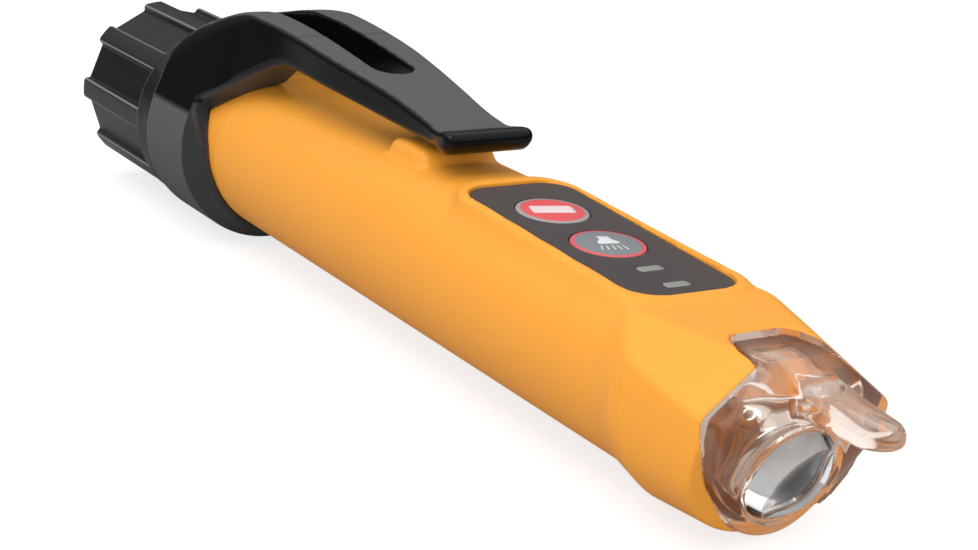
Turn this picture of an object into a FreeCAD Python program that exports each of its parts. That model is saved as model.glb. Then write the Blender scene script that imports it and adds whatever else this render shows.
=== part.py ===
import FreeCAD, Part
import Sketcher
import os
import math
from FreeCAD import Vector, Placement, Rotation

# Pen-style non contact voltage tester.  X runs along the pen (battery cap at 0,
# sensing tip at +X), Y across it, Z up through the key panel and the pocket clip.
os.makedirs("parts", exist_ok=True)
doc = FreeCAD.newDocument("voltage_tester")
sheet = doc.addObject("Spreadsheet::Sheet", "Dims")

DIMS = [
    ("overall_length", 156.5), ("tube_rear_radius", 10.27), ("tube_front_radius", 10.7),
    ("head_radius", 11.75), ("head_front_radius", 11.1), ("neck_root_radius", 8.05),
    ("neck_seal_radius", 8.6), ("seat_radius", 10.2), ("neck_rear_x", 8.0),
    ("shoulder_x", 24.6), ("collar_front_x", 41.2), ("tube_front_x", 127.6),
    ("head_crest_x", 132.6), ("head_front_x", 143.0), ("land_height", 9.4),
    ("panel_height", 9.0), ("panel_ref_x", 103.0), ("panel_tilt", 3.27),
    ("key_one_x", 103.0), ("key_two_x", 113.3), ("key_radius", 3.9), ("key_hole_radius", 4.05),
    ("key_travel", 0.4), ("window_one_x", 120.5), ("window_two_x", 124.9),
    ("label_length", 33.4), ("label_width", 12.8), ("label_thick", 0.5),
    ("cell_radius", 5.25), ("cell_length", 44.5), ("cell_rear_x", 7.2),
    ("sleeve_outer_radius", 6.85), ("sleeve_inner_radius", 5.55), ("neck_bore_radius", 6.95),
    ("tube_bore_radius", 8.2), ("bay_radius", 8.4), ("mouth_radius", 9.2),
    ("board_low", 2.2), ("board_thick", 1.0), ("lens_radius", 5.0), ("lens_tilt", 15.7),
    ("lens_x", 143.84), ("lens_z", -4.31), ("cap_length", 24.4), ("cap_panel_radius", 11.1),
    ("cap_rib_radius", 12.2), ("cap_band_radius", 12.2), ("cap_thread_bore", 8.75),
    ("cap_seal_bore", 9.25), ("thread_pitch", 3.0), ("collar_radius", 12.7),
    ("collar_rear_x", 25.1), ("collar_bore", 10.3), ("seam_x", 55.5), ("slot_half_width", 2.5),
    ("tongue_width", 5.0), ("ring_section", 0.75),
]
D = {}
for row, (name, value) in enumerate(DIMS):
    sheet.set("A%d" % (row + 1), name)
    sheet.set("B%d" % (row + 1), str(value))
    sheet.setAlias("B%d" % (row + 1), name)
    D[name] = value
doc.recompute()


class V:
    """A length read from the sheet: value = name * k + off."""

    def __init__(self, name, off=0.0, k=1.0):
        self.value = D[name] * k + off
        self.expr = "Dims.%s * %.9g + %.9g" % (name, k, off)


def num(v):
    return v.value if isinstance(v, V) else float(v)


def bind(obj, prop, v):
    if isinstance(v, V):
        setattr(obj, prop, v.value)
        obj.setExpression(prop, v.expr)
    else:
        setattr(obj, prop, float(v))


def plane_of(body, role):
    for feature in body.Origin.OriginFeatures:
        if feature.Role == role:
            return feature
    raise RuntimeError("no plane " + role)


def new_body(name):
    body = doc.addObject("PartDesign::Body", name)
    body.Label = name
    return body


def sketch_on(body, name, role, offset=None):
    sk = body.newObject("Sketcher::SketchObject", name)
    sk.AttachmentSupport = [(plane_of(body, role), "")]
    sk.MapMode = "FlatFace"
    if offset is not None:
        sk.AttachmentOffset = offset
    return sk


def poly(body, name, role, pts, offset=None):
    """Closed polygon; every corner is held by two dimensions from the origin."""
    sk = sketch_on(body, name, role, offset)
    xy = [(num(a), num(b)) for a, b in pts]
    n = len(xy)
    for i in range(n):
        a, b = xy[i], xy[(i + 1) % n]
        sk.addGeometry(Part.LineSegment(Vector(a[0], a[1], 0), Vector(b[0], b[1], 0)), False)
    for i in range(n):
        sk.addConstraint(Sketcher.Constraint("Coincident", i, 2, (i + 1) % n, 1))
    for i, (a, b) in enumerate(pts):
        for kind, v, tag in (("DistanceX", a, "x"), ("DistanceY", b, "y")):
            k = sk.addConstraint(Sketcher.Constraint(kind, -1, 1, i, 1, num(v)))
            if isinstance(v, V):
                label = "%s%d" % (tag, i)
                sk.renameConstraint(k, label)
                sk.setExpression("Constraints." + label, v.expr)
    return sk


def shape(body, name, role, parts, offset=None):
    """Sketch from ready-made curves: lines, arcs and circles."""
    sk = sketch_on(body, name, role, offset)
    for g in parts:
        sk.addGeometry(g, False)
    return sk


def circle(x, y, r):
    return Part.Circle(Vector(x, y, 0), Vector(0, 0, 1), r)


def disc(body, name, role, centres, r, offset=None):
    sk = sketch_on(body, name, role, offset)
    for i, (x, y) in enumerate(centres):
        sk.addGeometry(circle(num(x), num(y), num(r)), False)
        k = sk.addConstraint(Sketcher.Constraint("Radius", i, num(r)))
        if isinstance(r, V):
            sk.renameConstraint(k, "r%d" % i)
            sk.setExpression("Constraints.r%d" % i, r.expr)
        for kind, v, tag in (("DistanceX", x, "x"), ("DistanceY", y, "y")):
            k = sk.addConstraint(Sketcher.Constraint(kind, -1, 1, i, 3, num(v)))
            if isinstance(v, V):
                sk.renameConstraint(k, "%s%d" % (tag, i))
                sk.setExpression("Constraints.%s%d" % (tag, i), v.expr)
    return sk


def arc3(a, b, c):
    return Part.Arc(Vector(a[0], a[1], 0), Vector(b[0], b[1], 0), Vector(c[0], c[1], 0))


def seg(a, b):
    return Part.LineSegment(Vector(a[0], a[1], 0), Vector(b[0], b[1], 0))


def rrect(cx, cy, w, h, r):
    x0, x1, y0, y1 = cx - w / 2, cx + w / 2, cy - h / 2, cy + h / 2
    k = r * (1 - math.sqrt(0.5))
    return [
        seg((x0 + r, y0), (x1 - r, y0)), arc3((x1 - r, y0), (x1 - k, y0 + k), (x1, y0 + r)),
        seg((x1, y0 + r), (x1, y1 - r)), arc3((x1, y1 - r), (x1 - k, y1 - k), (x1 - r, y1)),
        seg((x1 - r, y1), (x0 + r, y1)), arc3((x0 + r, y1), (x0 + k, y1 - k), (x0, y1 - r)),
        seg((x0, y1 - r), (x0, y0 + r)), arc3((x0, y0 + r), (x0 + k, y0 + k), (x0 + r, y0)),
    ]


def dee(r, ceiling):
    """Circle of radius r with its top cut flat at the given height."""
    half = math.sqrt(r * r - ceiling * ceiling)
    return [seg((half, ceiling), (-half, ceiling)), arc3((-half, ceiling), (0, -r), (half, ceiling))]


def mouth(r):
    """Front opening: a circle with a flat ceiling at 5 and a bevel on each upper corner."""
    k = 5.0 - (9.2 - r)
    y1, z1 = (6.8 - 0.779 * k) / 0.59 - (9.2 - r) * 1.2, k
    z2 = 1.91 - (9.2 - r) * 0.6
    y2 = math.sqrt(r * r - z2 * z2)
    return [seg((y1, z1), (-y1, z1)), seg((-y1, z1), (-y2, z2)), arc3((-y2, z2), (0, -r), (y2, z2)),
            seg((y2, z2), (y1, z1))]


def revolve(body, name, sk):
    f = body.newObject("PartDesign::Revolution", name)
    f.Profile = sk
    f.ReferenceAxis = (sk, ["H_Axis"])
    f.Angle = 360.0
    sk.Visibility = False
    doc.recompute()
    return f


def groove(body, name, sk):
    before = body.Shape.Volume
    f = body.newObject("PartDesign::Groove", name)
    f.Profile = sk
    f.ReferenceAxis = (sk, ["H_Axis"])
    f.Angle = 360.0
    doc.recompute()
    if not f.Shape.Volume < before - 1e-6:
        raise RuntimeError(name + " removed nothing")
    return f


def pad(body, name, sk, length, both=False, flip=False):
    f = body.newObject("PartDesign::Pad", name)
    f.Profile = sk
    bind(f, "Length", length)
    if both:
        f.SideType = "Symmetric"
    f.Reversed = flip
    doc.recompute()
    return f


def pocket(body, name, sk, length, both=False, flip=False):
    before = body.Shape.Volume
    f = body.newObject("PartDesign::Pocket", name)
    f.Profile = sk
    bind(f, "Length", length)
    if both:
        f.SideType = "Symmetric"
    f.Reversed = flip
    doc.recompute()
    if not both and not f.Shape.Volume < before - 1e-6:
        f.Reversed = not flip
        doc.recompute()
    if not f.Shape.Volume < before - 1e-6:
        raise RuntimeError(name + " removed nothing")
    return f


def fillet(body, name, pick, radius, kind="Fillet"):
    """Round (or bevel) the edges of the tip that pick() accepts."""
    base = body.Tip
    names = ["Edge%d" % (i + 1) for i, e in enumerate(base.Shape.Edges) if pick(e)]
    if not names:
        raise RuntimeError(name + " found no edge")
    f = body.newObject("PartDesign::" + kind, name)
    f.Base = (base, names)
    bind(f, "Radius" if kind == "Fillet" else "Size", radius)
    doc.recompute()
    if "Invalid" in f.State or f.Shape.isNull() or not f.Shape.isValid() or f.Shape.Volume <= 0:
        body.removeObject(f)
        doc.removeObject(f.Name)
        body.Tip = base
        doc.recompute()
        print("left sharp:", name)
        return base
    return f


def along_x(x):
    """Offset that moves a YZ sketch to station x."""
    return Placement(Vector(0, 0, x), Rotation())


def at_z(z):
    return Placement(Vector(0, 0, z), Rotation())


def panel_z(x):
    return D["panel_height"] - math.tan(math.radians(D["panel_tilt"])) * (x - D["panel_ref_x"])


def panel_frame(x, up=0.0):
    """Placement on the sloping key panel, Z along the panel normal."""
    t = math.radians(D["panel_tilt"])
    return Placement(Vector(x + up * math.sin(t), 0, panel_z(x) + up * math.cos(t)),
                     Rotation(Vector(0, 1, 0), D["panel_tilt"]))


def lens_frame(shift=0.0):
    """Placement on the lens axis, X pointing out of the lens."""
    t = math.radians(D["lens_tilt"])
    return Placement(Vector(D["lens_x"] + shift * math.cos(t), 0, D["lens_z"] - shift * math.sin(t)),
                     Rotation(Vector(0, 1, 0), D["lens_tilt"]))


def face_x(z, out=0.0):
    """Station of the sloping front face at height z, moved out along X."""
    return D["lens_x"] + math.tan(math.radians(D["lens_tilt"])) * (z - D["lens_z"]) + out


def facet(body, name, normal, reach, near, far):
    """Plane cut: everything beyond reach along the normal goes, between two stations in X."""
    n = Vector(*normal)
    size = n.Length
    n.normalize()
    turn = Rotation(Vector(0, 0, 1), n)
    origin = n * (reach / size)
    local = []
    for x, y in ((near, 0.0), (far, 0.0), (far, 14.0), (near, 14.0)):
        y = y if normal[1] > 0 else -y
        z = (reach - normal[0] * x - normal[1] * y) / normal[2]
        p = turn.inverted().multVec(Vector(x, y, z) - origin)
        local.append((p.x, p.y))
    sk = poly(body, name + "_plan", "XY_Plane", local, Placement(origin, turn))
    return pocket(body, name, sk, 9.0, flip=True)


bodies = []


def done(body):
    bodies.append(body)
    return body


# ---------------------------------------------------------------- main housing
b = new_body("main_housing")
sk = poly(b, "housing_profile", "XZ_Plane", [
    (V("neck_rear_x"), 0), (V("neck_rear_x"), V("neck_root_radius")), (18.0, V("neck_root_radius")),
    (18.0, V("neck_seal_radius")), (20.6, V("neck_seal_radius")), (20.6, 7.7), (22.3, 7.7),
    (22.3, V("neck_seal_radius")), (V("shoulder_x"), V("neck_seal_radius")),
    (V("shoulder_x"), V("seat_radius")), (V("collar_front_x"), V("seat_radius")),
    (V("collar_front_x"), 10.55), (45.5, V("tube_rear_radius")),
    (V("tube_front_x"), V("tube_front_radius")), (V("head_crest_x"), V("head_radius")),
    (V("head_front_x"), V("head_front_radius")), (V("head_front_x"), 0)])
revolve(b, "housing_turned", sk)
sk = shape(b, "island_plan", "XY_Plane", rrect(110.8, 0, 35.2, 14.6, 4.2), at_z(4.0))
pad(b, "island", sk, 7.0)
sk = poly(b, "top_cut", "XZ_Plane", [
    (41.15, 14.0), (41.15, 10.05), (46.5, V("land_height")), (92.4, V("land_height")),
    (93.2, panel_z(93.2) + 0.25), (128.4, panel_z(128.4) + 0.25), (130.0, panel_z(130.0)),
    (144.0, panel_z(144.0)), (144.0, 14.0)])
pocket(b, "top_flat", sk, 30.0, both=True)
for tag, s in (("near", -1.0), ("far", 1.0)):
    sk = poly(b, "head_relief_" + tag, "XY_Plane", [
        (132.0, s * 11.78), (V("head_front_x", 1.0), s * 9.7), (V("head_front_x", 1.0), s * 14.0),
        (132.0, s * 14.0)], at_z(-14.0))
    pocket(b, "head_side_" + tag, sk, 28.0, flip=True)
sk = poly(b, "head_front_cut", "XZ_Plane", [
    (face_x(-1.0, -1.75), -1.0), (146.0, -1.0), (146.0, -14.0), (face_x(-14.0, -1.75), -14.0)])
pocket(b, "head_front_slope", sk, 30.0, both=True)
for tag, s in (("near", -1.0), ("far", 1.0)):
    facet(b, "head_facet_" + tag, (0.208, 0.590 * s, 0.779), 37.4, 127.0, 147.0)
sk = shape(b, "bump_plan", "XY_Plane", rrect(79.8, 0, 7.6, 9.6, 1.4), at_z(8.0))
pad(b, "clip_bump", sk, 3.0)
fillet(b, "bump_round", lambda e: abs(e.BoundBox.ZMin - 11.0) < 1e-4 and abs(e.BoundBox.ZMax - 11.0) < 1e-4, 0.9)
sk = shape(b, "label_recess_plan", "XY_Plane",
           rrect(0, 0, D["label_length"] + 0.2, D["label_width"] + 0.2, 3.4), panel_frame(111.2, 1.5))
pocket(b, "label_recess", sk, V("label_thick", 1.5))
sk = poly(b, "cell_bore_profile", "XZ_Plane", [
    (7.0, 0), (7.0, V("neck_bore_radius")), (28.0, V("neck_bore_radius")),
    (28.0, V("tube_bore_radius")), (98.2, V("tube_bore_radius")), (98.2, 0)])
groove(b, "cell_bore", sk)
sk = shape(b, "bay_outline", "YZ_Plane", dee(D["bay_radius"], 6.2), along_x(98.0))
pocket(b, "electronics_bay", sk, 31.0, flip=True)
sk = shape(b, "mouth_outline", "YZ_Plane", mouth(D["mouth_radius"]), along_x(128.6))
pocket(b, "nose_mouth", sk, 15.0, flip=True)
sk = poly(b, "tab_notch_plan", "XY_Plane", [
    (136.7, -3.2), (137.8, -4.35), (140.1, -4.95), (143.6, -4.7), (143.6, 4.7), (140.1, 4.95), (137.8, 4.35),
    (136.7, 3.2)], at_z(4.0))
pocket(b, "tab_notch", sk, 6.0, flip=True)
sk = disc(b, "key_hole_plan", "XY_Plane", [(D["key_one_x"] - 111.2, 0), (D["key_two_x"] - 111.2, 0)],
          V("key_hole_radius"), panel_frame(111.2))
pocket(b, "key_holes", sk, 4.6)
t = math.cos(math.radians(D["panel_tilt"]))
sk = shape(b, "window_hole_plan", "XY_Plane",
           rrect((D["window_one_x"] - 111.2) / t, 0, 1.4, 3.0, 0.5)
           + rrect((D["window_two_x"] - 111.2) / t, 0, 1.4, 3.0, 0.5), panel_frame(111.2))
pocket(b, "window_holes", sk, 4.6)
# single-start ridge on the neck
sk = poly(b, "neck_thread_profile", "XZ_Plane", [
    (9.4, 7.9), (10.8, 7.9), (10.45, 8.55), (9.75, 8.55)])
h = b.newObject("PartDesign::AdditiveHelix", "neck_thread")
h.Profile = sk
h.ReferenceAxis = (plane_of(b, "X_Axis"), [""])
h.Mode = "pitch-height-angle"
bind(h, "Pitch", V("thread_pitch"))
h.Height = 6.0
doc.recompute()
done(b)

# ------------------------------------------------------------------ nose cover
b = new_body("nose_cover")
sk = poly(b, "nose_band_profile", "XZ_Plane", [
    (139.5, 0), (139.5, 11.15), (141.0, 11.1), (143.0, 10.95), (145.0, 10.5), (146.6, 9.8), (147.6, 8.9),
    (148.1, 7.4), (148.1, 0)])
revolve(b, "nose_band", sk)
sk = poly(b, "nose_rear_cut", "XZ_Plane", [
    (138.0, 12.0), (143.05, 12.0), (143.05, -1.0), (face_x(-14.0, -1.70), -14.0), (138.0, -14.0)])
pocket(b, "nose_rear", sk, 30.0, both=True)
sk = poly(b, "nose_spigot_profile", "XZ_Plane", [
    (131.0, 0), (131.0, V("mouth_radius", -0.1)), (143.2, V("mouth_radius", -0.1)), (143.2, 0)])
revolve(b, "nose_spigot", sk)
sk = poly(b, "nose_top_cut", "XZ_Plane", [
    (130.0, 12.0), (130.0, 4.9), (143.05, 4.9), (143.05, 6.65), (150.0, 4.6), (150.0, 12.0)])
pocket(b, "nose_top", sk, 30.0, both=True)
for tag, s in (("near", -1.0), ("far", 1.0)):
    sk = poly(b, "spigot_bevel_" + tag, "YZ_Plane", [
        (s * 4.65, 5.0), (s * 9.05, 1.72), (s * 12.0, 1.72), (s * 12.0, 7.0), (s * 4.65, 7.0)], along_x(130.0))
    pocket(b, "spigot_corner_" + tag, sk, 13.05, flip=True)
sk = poly(b, "nose_face_cut", "XZ_Plane", [
    (face_x(-13.0, 0.5), -13.0), (face_x(3.2, 0.5), 3.2), (152.0, 3.2), (152.0, -13.0)])
pocket(b, "nose_face", sk, 30.0, both=True)
for tag, s in (("near", -1.0), ("far", 1.0)):
    sk = poly(b, "nose_relief_" + tag, "XY_Plane", [
        (143.0, s * 9.7), (145.0, s * 9.1), (148.0, s * 7.6), (150.0, s * 7.6), (150.0, s * 14.0),
        (143.0, s * 14.0)], at_z(-14.0))
    pocket(b, "nose_side_" + tag, sk, 28.0, flip=True)
for tag, s in (("near", -1.0), ("far", 1.0)):
    facet(b, "nose_facet_" + tag, (0.208, 0.590 * s, 0.779), 37.4, 127.0, 152.0)
    facet(b, "nose_low_facet_" + tag, (0.31, 0.785 * s, -0.62), 53.3, 139.2, 152.0)
sk = poly(b, "tab_plan", "XY_Plane", [
    (136.8, -3.1), (137.9, -4.25), (140.2, -4.85), (143.4, -4.55), (143.4, 4.55), (140.2, 4.85), (137.9, 4.25),
    (136.8, 3.1)], at_z(3.0))
pad(b, "window_tab", sk, 5.0)
sk = poly(b, "tab_top_cut", "XZ_Plane", [
    (136.0, 12.0), (136.0, panel_z(136.0)), (143.2, panel_z(143.2)), (149.5, 4.78), (149.5, 12.0)])
pocket(b, "tab_top", sk, 30.0, both=True)
sk = poly(b, "tongue_side", "XZ_Plane", [
    (138.6, 7.05), (149.5, 4.95), (V("overall_length"), 4.15), (V("overall_length"), 2.6),
    (149.5, 2.7), (140.0, 4.4)])
pad(b, "tongue", sk, V("tongue_width"), both=True)
fillet(b, "tongue_tip", lambda e: e.BoundBox.XMin > D["overall_length"] - 0.01
       and e.BoundBox.ZLength > 0.5 and e.BoundBox.YLength < 0.01, 2.35)
sk = poly(b, "nose_hollow", "XZ_Plane", [
    (130.0, -7.4), (face_x(-7.4, -1.8), -7.4), (face_x(3.4, -1.8), 3.4), (130.0, 3.4)])
pocket(b, "nose_cavity", sk, 12.6, both=True)
sk = poly(b, "antenna_slot_side", "XZ_Plane", [
    (137.3, 3.0), (138.2, 3.0), (141.0, 5.3), (149.5, 3.55), (154.4, 3.1), (154.4, 3.9),
    (149.5, 4.35), (141.0, 6.1), (140.2, 6.1)])
pocket(b, "antenna_slot", sk, 3.2, both=True)
sk = disc(b, "lens_bore_outline", "YZ_Plane", [(0, 0)], V("lens_radius", 0.05),
          Placement(Vector(0, D["lens_z"], D["lens_x"]), Rotation(Vector(1, 0, 0), D["lens_tilt"])))
pocket(b, "lens_bore", sk, 11.0, both=True)
sk = disc(b, "lens_rim_outline", "YZ_Plane", [(0, 0)], V("lens_radius", 0.9),
          Placement(Vector(0, D["lens_z"], D["lens_x"]), Rotation(Vector(1, 0, 0), D["lens_tilt"])))
pocket(b, "lens_recess", sk, 6.0, flip=True)
done(b)

# ------------------------------------------------------------------- nose seal
b = new_body("nose_seal")
sk = shape(b, "seal_outline", "YZ_Plane", mouth(9.1) + dee(7.2, 3.5), along_x(130.0))
pad(b, "seal_ring", sk, 0.9)
done(b)

# ------------------------------------------------------- flashlight optics
b = new_body("flashlight_lens")
r = D["lens_radius"]
dome = (r * r + 2.3 * 2.3) / 4.6
dome_mid = 2.3 - dome + math.sqrt(dome * dome - (r * 0.62) ** 2)
sk = shape(b, "lens_profile", "XZ_Plane", [
    seg((-1.7, 0), (-1.7, r)), seg((-1.7, r), (0.0, r)), arc3((0.0, r), (dome_mid, r * 0.62), (2.3, 0)),
    seg((2.3, 0), (-1.7, 0))])
revolve(b, "lens_turned", sk)
b.Placement = lens_frame()
done(b)

b = new_body("lens_reflector")
sk = poly(b, "reflector_profile", "XZ_Plane", [
    (-1.75, 4.6), (-1.75, V("lens_radius")), (-3.4, V("lens_radius")), (-6.8, 3.1), (-6.8, 1.5), (-6.2, 1.5), (-3.4, 4.1)])
revolve(b, "reflector_turned", sk)
b.Placement = lens_frame()
done(b)

b = new_body("led_board")
sk = shape(b, "led_board_outline", "YZ_Plane", rrect(0, 0, 9.0, 7.2, 0.8), along_x(-8.4))
pad(b, "led_board_sheet", sk, 0.9)
b.Placement = lens_frame()
done(b)

b = new_body("flashlight_led")
sk = shape(b, "led_base_outline", "YZ_Plane", rrect(0, 0, 2.6, 2.6, 0.3), along_x(-7.5))
pad(b, "led_base", sk, 0.5)
sk = disc(b, "led_dome_outline", "YZ_Plane", [(0, 0)], 1.0, along_x(-7.05))
pad(b, "led_dome", sk, 0.9)
b.Placement = lens_frame()
done(b)

b = new_body("antenna_plate")
sk = poly(b, "antenna_side", "XZ_Plane", [
    (137.5, 3.25), (138.1, 3.25), (140.95, 5.5), (149.5, 3.72), (153.9, 3.28), (153.9, 3.72),
    (149.5, 4.17), (140.75, 6.0)])
pad(b, "antenna_strip", sk, 3.0, both=True)
done(b)

# ---------------------------------------------------------- main circuit board
top = D["board_low"] + D["board_thick"]
b = new_body("main_pcb")
sk = poly(b, "board_plan", "XY_Plane", [
    (99.0, -6.3), (129.4, -6.3), (131.6, -3.0), (139.4, -3.0), (139.4, 3.0), (131.6, 3.0),
    (129.4, 6.3), (99.0, 6.3)], at_z(D["board_low"]))
pad(b, "board_sheet", sk, V("board_thick"))
done(b)


def chip(name, x, y, w, h, z, tall, r=0.2):
    body = new_body(name)
    s = shape(body, name + "_plan", "XY_Plane", rrect(x, y, w, h, r), at_z(z))
    pad(body, name + "_block", s, tall)
    return done(body)


chip("controller_chip", 108.15, -3.9, 4.2, 3.2, top, 1.0)
chip("tip_led", 140.4, 0.0, 1.6, 1.5, top - 1.0, 0.8)


def several(name, items):
    """Separate small solids that share one node."""
    group = []
    for i, (x, y, w, h, z, tall) in enumerate(items):
        box = doc.addObject("Part::Box", "%s_%d" % (name, i))
        box.Length, box.Width, box.Height = w, h, tall
        box.Placement = Placement(Vector(x - w / 2, y - h / 2, z), Rotation())
        group.append(box)
    comp = doc.addObject("Part::Compound", name)
    comp.Label = name
    comp.Links = group
    doc.recompute()
    bodies.append(comp)
    return comp


several("indicator_leds", [(D["window_one_x"], 0, 1.0, 1.8, top, 0.8), (D["window_two_x"], 0, 1.0, 1.8, top, 0.8)])
several("board_components", [
    (100.9, 4.6, 2.2, 1.4, top, 0.9), (106.9, 4.7, 1.2, 2.0, top, 0.7), (109.6, 4.7, 1.2, 2.0, top, 0.7),
    (117.2, 4.4, 2.4, 1.6, top, 1.0), (117.4, -4.6, 1.6, 0.9, top, 0.6), (121.6, -4.4, 2.8, 1.8, top, 1.1),
    (121.0, 4.6, 1.2, 2.0, top, 0.7), (126.9, -3.9, 1.4, 2.4, top, 0.9), (126.9, 3.9, 1.4, 2.4, top, 0.9)])

for tag, kx in (("ncv", "key_one_x"), ("flashlight", "key_two_x")):
    x = D[kx]
    b = new_body(tag + "_switch")
    sk = shape(b, tag + "_switch_plan", "XY_Plane", rrect(x, 0, 4.4, 4.4, 0.3), at_z(top))
    pad(b, tag + "_switch_block", sk, 1.1)
    sk = disc(b, tag + "_switch_bore", "XY_Plane", [(V(kx), 0)], 1.05, at_z(top + 0.05))
    pocket(b, tag + "_switch_hole", sk, 1.2, flip=True)
    done(b)
    b = new_body(tag + "_switch_button")
    sk = disc(b, tag + "_button_plan", "XY_Plane", [(V(kx), 0)], 0.95, at_z(top + 0.5))
    pad(b, tag + "_button_pin", sk, 1.0)
    done(b)
    b = new_body(tag + "_key")
    sk = poly(b, tag + "_key_profile", "XZ_Plane", [
        (0, 0.1), (3.4, 0.1), (V("key_radius"), -0.15), (V("key_radius"), -1.1), (1.6, -1.1),
        (1.6, -(panel_z(x) - top - 1.62)), (0, -(panel_z(x) - top - 1.62))])
    f = b.newObject("PartDesign::Revolution", tag + "_key_turned")
    f.Profile = sk
    f.ReferenceAxis = (sk, ["V_Axis"])
    f.Angle = 360.0
    doc.recompute()
    b.Placement = panel_frame(x)
    done(b)

several("light_pipes", [
    (D["window_one_x"], 0, 1.05, 2.5, 4.15, panel_z(D["window_one_x"]) - 4.15 - 0.02),
    (D["window_two_x"], 0, 1.05, 2.5, 4.15, panel_z(D["window_two_x"]) - 4.15 - 0.02)])

b = new_body("keypad_membrane")
sk = shape(b, "membrane_plan", "XY_Plane",
           rrect(112.9, 0, 28.4, 10.6, 1.5)
           + [circle(D["key_one_x"], 0, 2.0), circle(D["key_two_x"], 0, 2.0)]
           + rrect(D["window_one_x"], 0, 1.8, 3.4, 0.4) + rrect(D["window_two_x"], 0, 1.8, 3.4, 0.4), at_z(5.45))
pad(b, "membrane_sheet", sk, 0.75)
done(b)

b = new_body("panel_label")
sk = shape(b, "label_plan", "XY_Plane",
           rrect(0, 0, D["label_length"], D["label_width"], 3.3)
           + [circle((D["key_one_x"] - 111.2) / t, 0, D["key_hole_radius"]),
              circle((D["key_two_x"] - 111.2) / t, 0, D["key_hole_radius"])]
           + rrect((D["window_one_x"] - 111.2) / t, 0, 1.35, 2.95, 0.5)
           + rrect((D["window_two_x"] - 111.2) / t, 0, 1.35, 2.95, 0.5), at_z(-D["label_thick"]))
pad(b, "label_sheet", sk, V("label_thick"))
b.Placement = panel_frame(111.2)
done(b)

# -------------------------------------------------------------- inner chassis
b = new_body("inner_chassis")
sk = poly(b, "sleeve_profile", "XZ_Plane", [
    (9.0, V("sleeve_inner_radius")), (9.0, V("sleeve_outer_radius")), (28.4, V("sleeve_outer_radius")),
    (28.4, 8.1), (30.2, 8.1), (30.2, V("sleeve_outer_radius")), (93.8, V("sleeve_outer_radius")),
    (93.8, 8.1), (95.6, 8.1), (95.6, V("sleeve_outer_radius")), (97.9, V("sleeve_outer_radius")), (97.9, 2.4),
    (96.7, 2.4), (96.7, V("sleeve_inner_radius"))])
revolve(b, "sleeve", sk)
sk = poly(b, "tray_section", "YZ_Plane", [
    (-6.4, -3.2), (6.4, -3.2), (6.4, 2.15), (5.2, 2.15), (5.2, -2.2), (-5.2, -2.2), (-5.2, 2.15), (-6.4, 2.15)],
    along_x(97.5))
pad(b, "tray", sk, 31.5)
sk = poly(b, "strip_groove_section", "YZ_Plane", [
    (-1.7, -9.0), (1.7, -9.0), (1.7, -6.35), (-1.7, -6.35)], along_x(8.5))
pocket(b, "strip_groove", sk, 90.0, flip=True)
done(b)

b = new_body("return_strip")
sk = poly(b, "strip_side", "XZ_Plane", [
    (7.75, -7.9), (7.95, -7.9), (7.95, -6.75), (98.6, -6.75), (98.6, -3.4), (98.3, -3.4), (98.3, -6.45),
    (7.75, -6.45)])
pad(b, "strip_sheet", sk, 3.0, both=True)
done(b)

b = new_body("front_contact")
sk = disc(b, "contact_outline", "YZ_Plane", [(0, 0)], 4.2, along_x(96.25))
pad(b, "contact_disc", sk, 0.4)
sk = disc(b, "contact_stud", "YZ_Plane", [(0, 0)], 1.8, along_x(96.6))
pad(b, "contact_pin", sk, 1.9)
done(b)

for tag, off in (("cell_rear", 0.0), ("cell_front", D["cell_length"] + 0.02)):
    b = new_body(tag)
    x0 = V("cell_rear_x", off)
    sk = poly(b, tag + "_profile", "XZ_Plane", [
        (x0, 0), (x0, 4.9), (V("cell_rear_x", off + 0.35), V("cell_radius")),
        (V("cell_rear_x", off + 43.2), V("cell_radius")), (V("cell_rear_x", off + 43.5), 4.9),
        (V("cell_rear_x", off + 43.5), 1.9), (V("cell_rear_x", off + 44.5), 1.9), (V("cell_rear_x", off + 44.5), 0)])
    revolve(b, tag + "_can", sk)
    done(b)

b = new_body("piezo_buzzer")
sk = disc(b, "buzzer_outline", "XY_Plane", [(118.0, 0)], 4.9, at_z(-2.1))
pad(b, "buzzer_case", sk, 3.4)
sk = disc(b, "buzzer_port", "XY_Plane", [(118.0, 0)], 0.9, at_z(0.4))
pocket(b, "buzzer_hole", sk, 2.0, flip=True)
done(b)

# ---------------------------------------------------------------- battery end
b = new_body("spring_contact")
sk = poly(b, "cup_profile", "XZ_Plane", [
    (2.75, 0), (2.75, 7.8), (7.7, 7.8), (7.7, 7.45), (3.1, 7.45), (3.1, 0)])
revolve(b, "cup_turned", sk)
done(b)

b = new_body("battery_spring")
sk = disc(b, "wire_section", "XZ_Plane", [(3.5, 3.9)], 0.33)
h = b.newObject("PartDesign::AdditiveHelix", "spring_coil")
h.Profile = sk
h.ReferenceAxis = (plane_of(b, "X_Axis"), [""])
h.Mode = "pitch-height-angle"
h.Pitch = 1.32
h.Height = 3.3
doc.recompute()
done(b)

b = new_body("cap_seal_ring")
sk = disc(b, "ring_profile", "XZ_Plane", [(21.45, V("neck_seal_radius", -0.14))], V("ring_section"))
revolve(b, "ring_turned", sk)
done(b)

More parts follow.
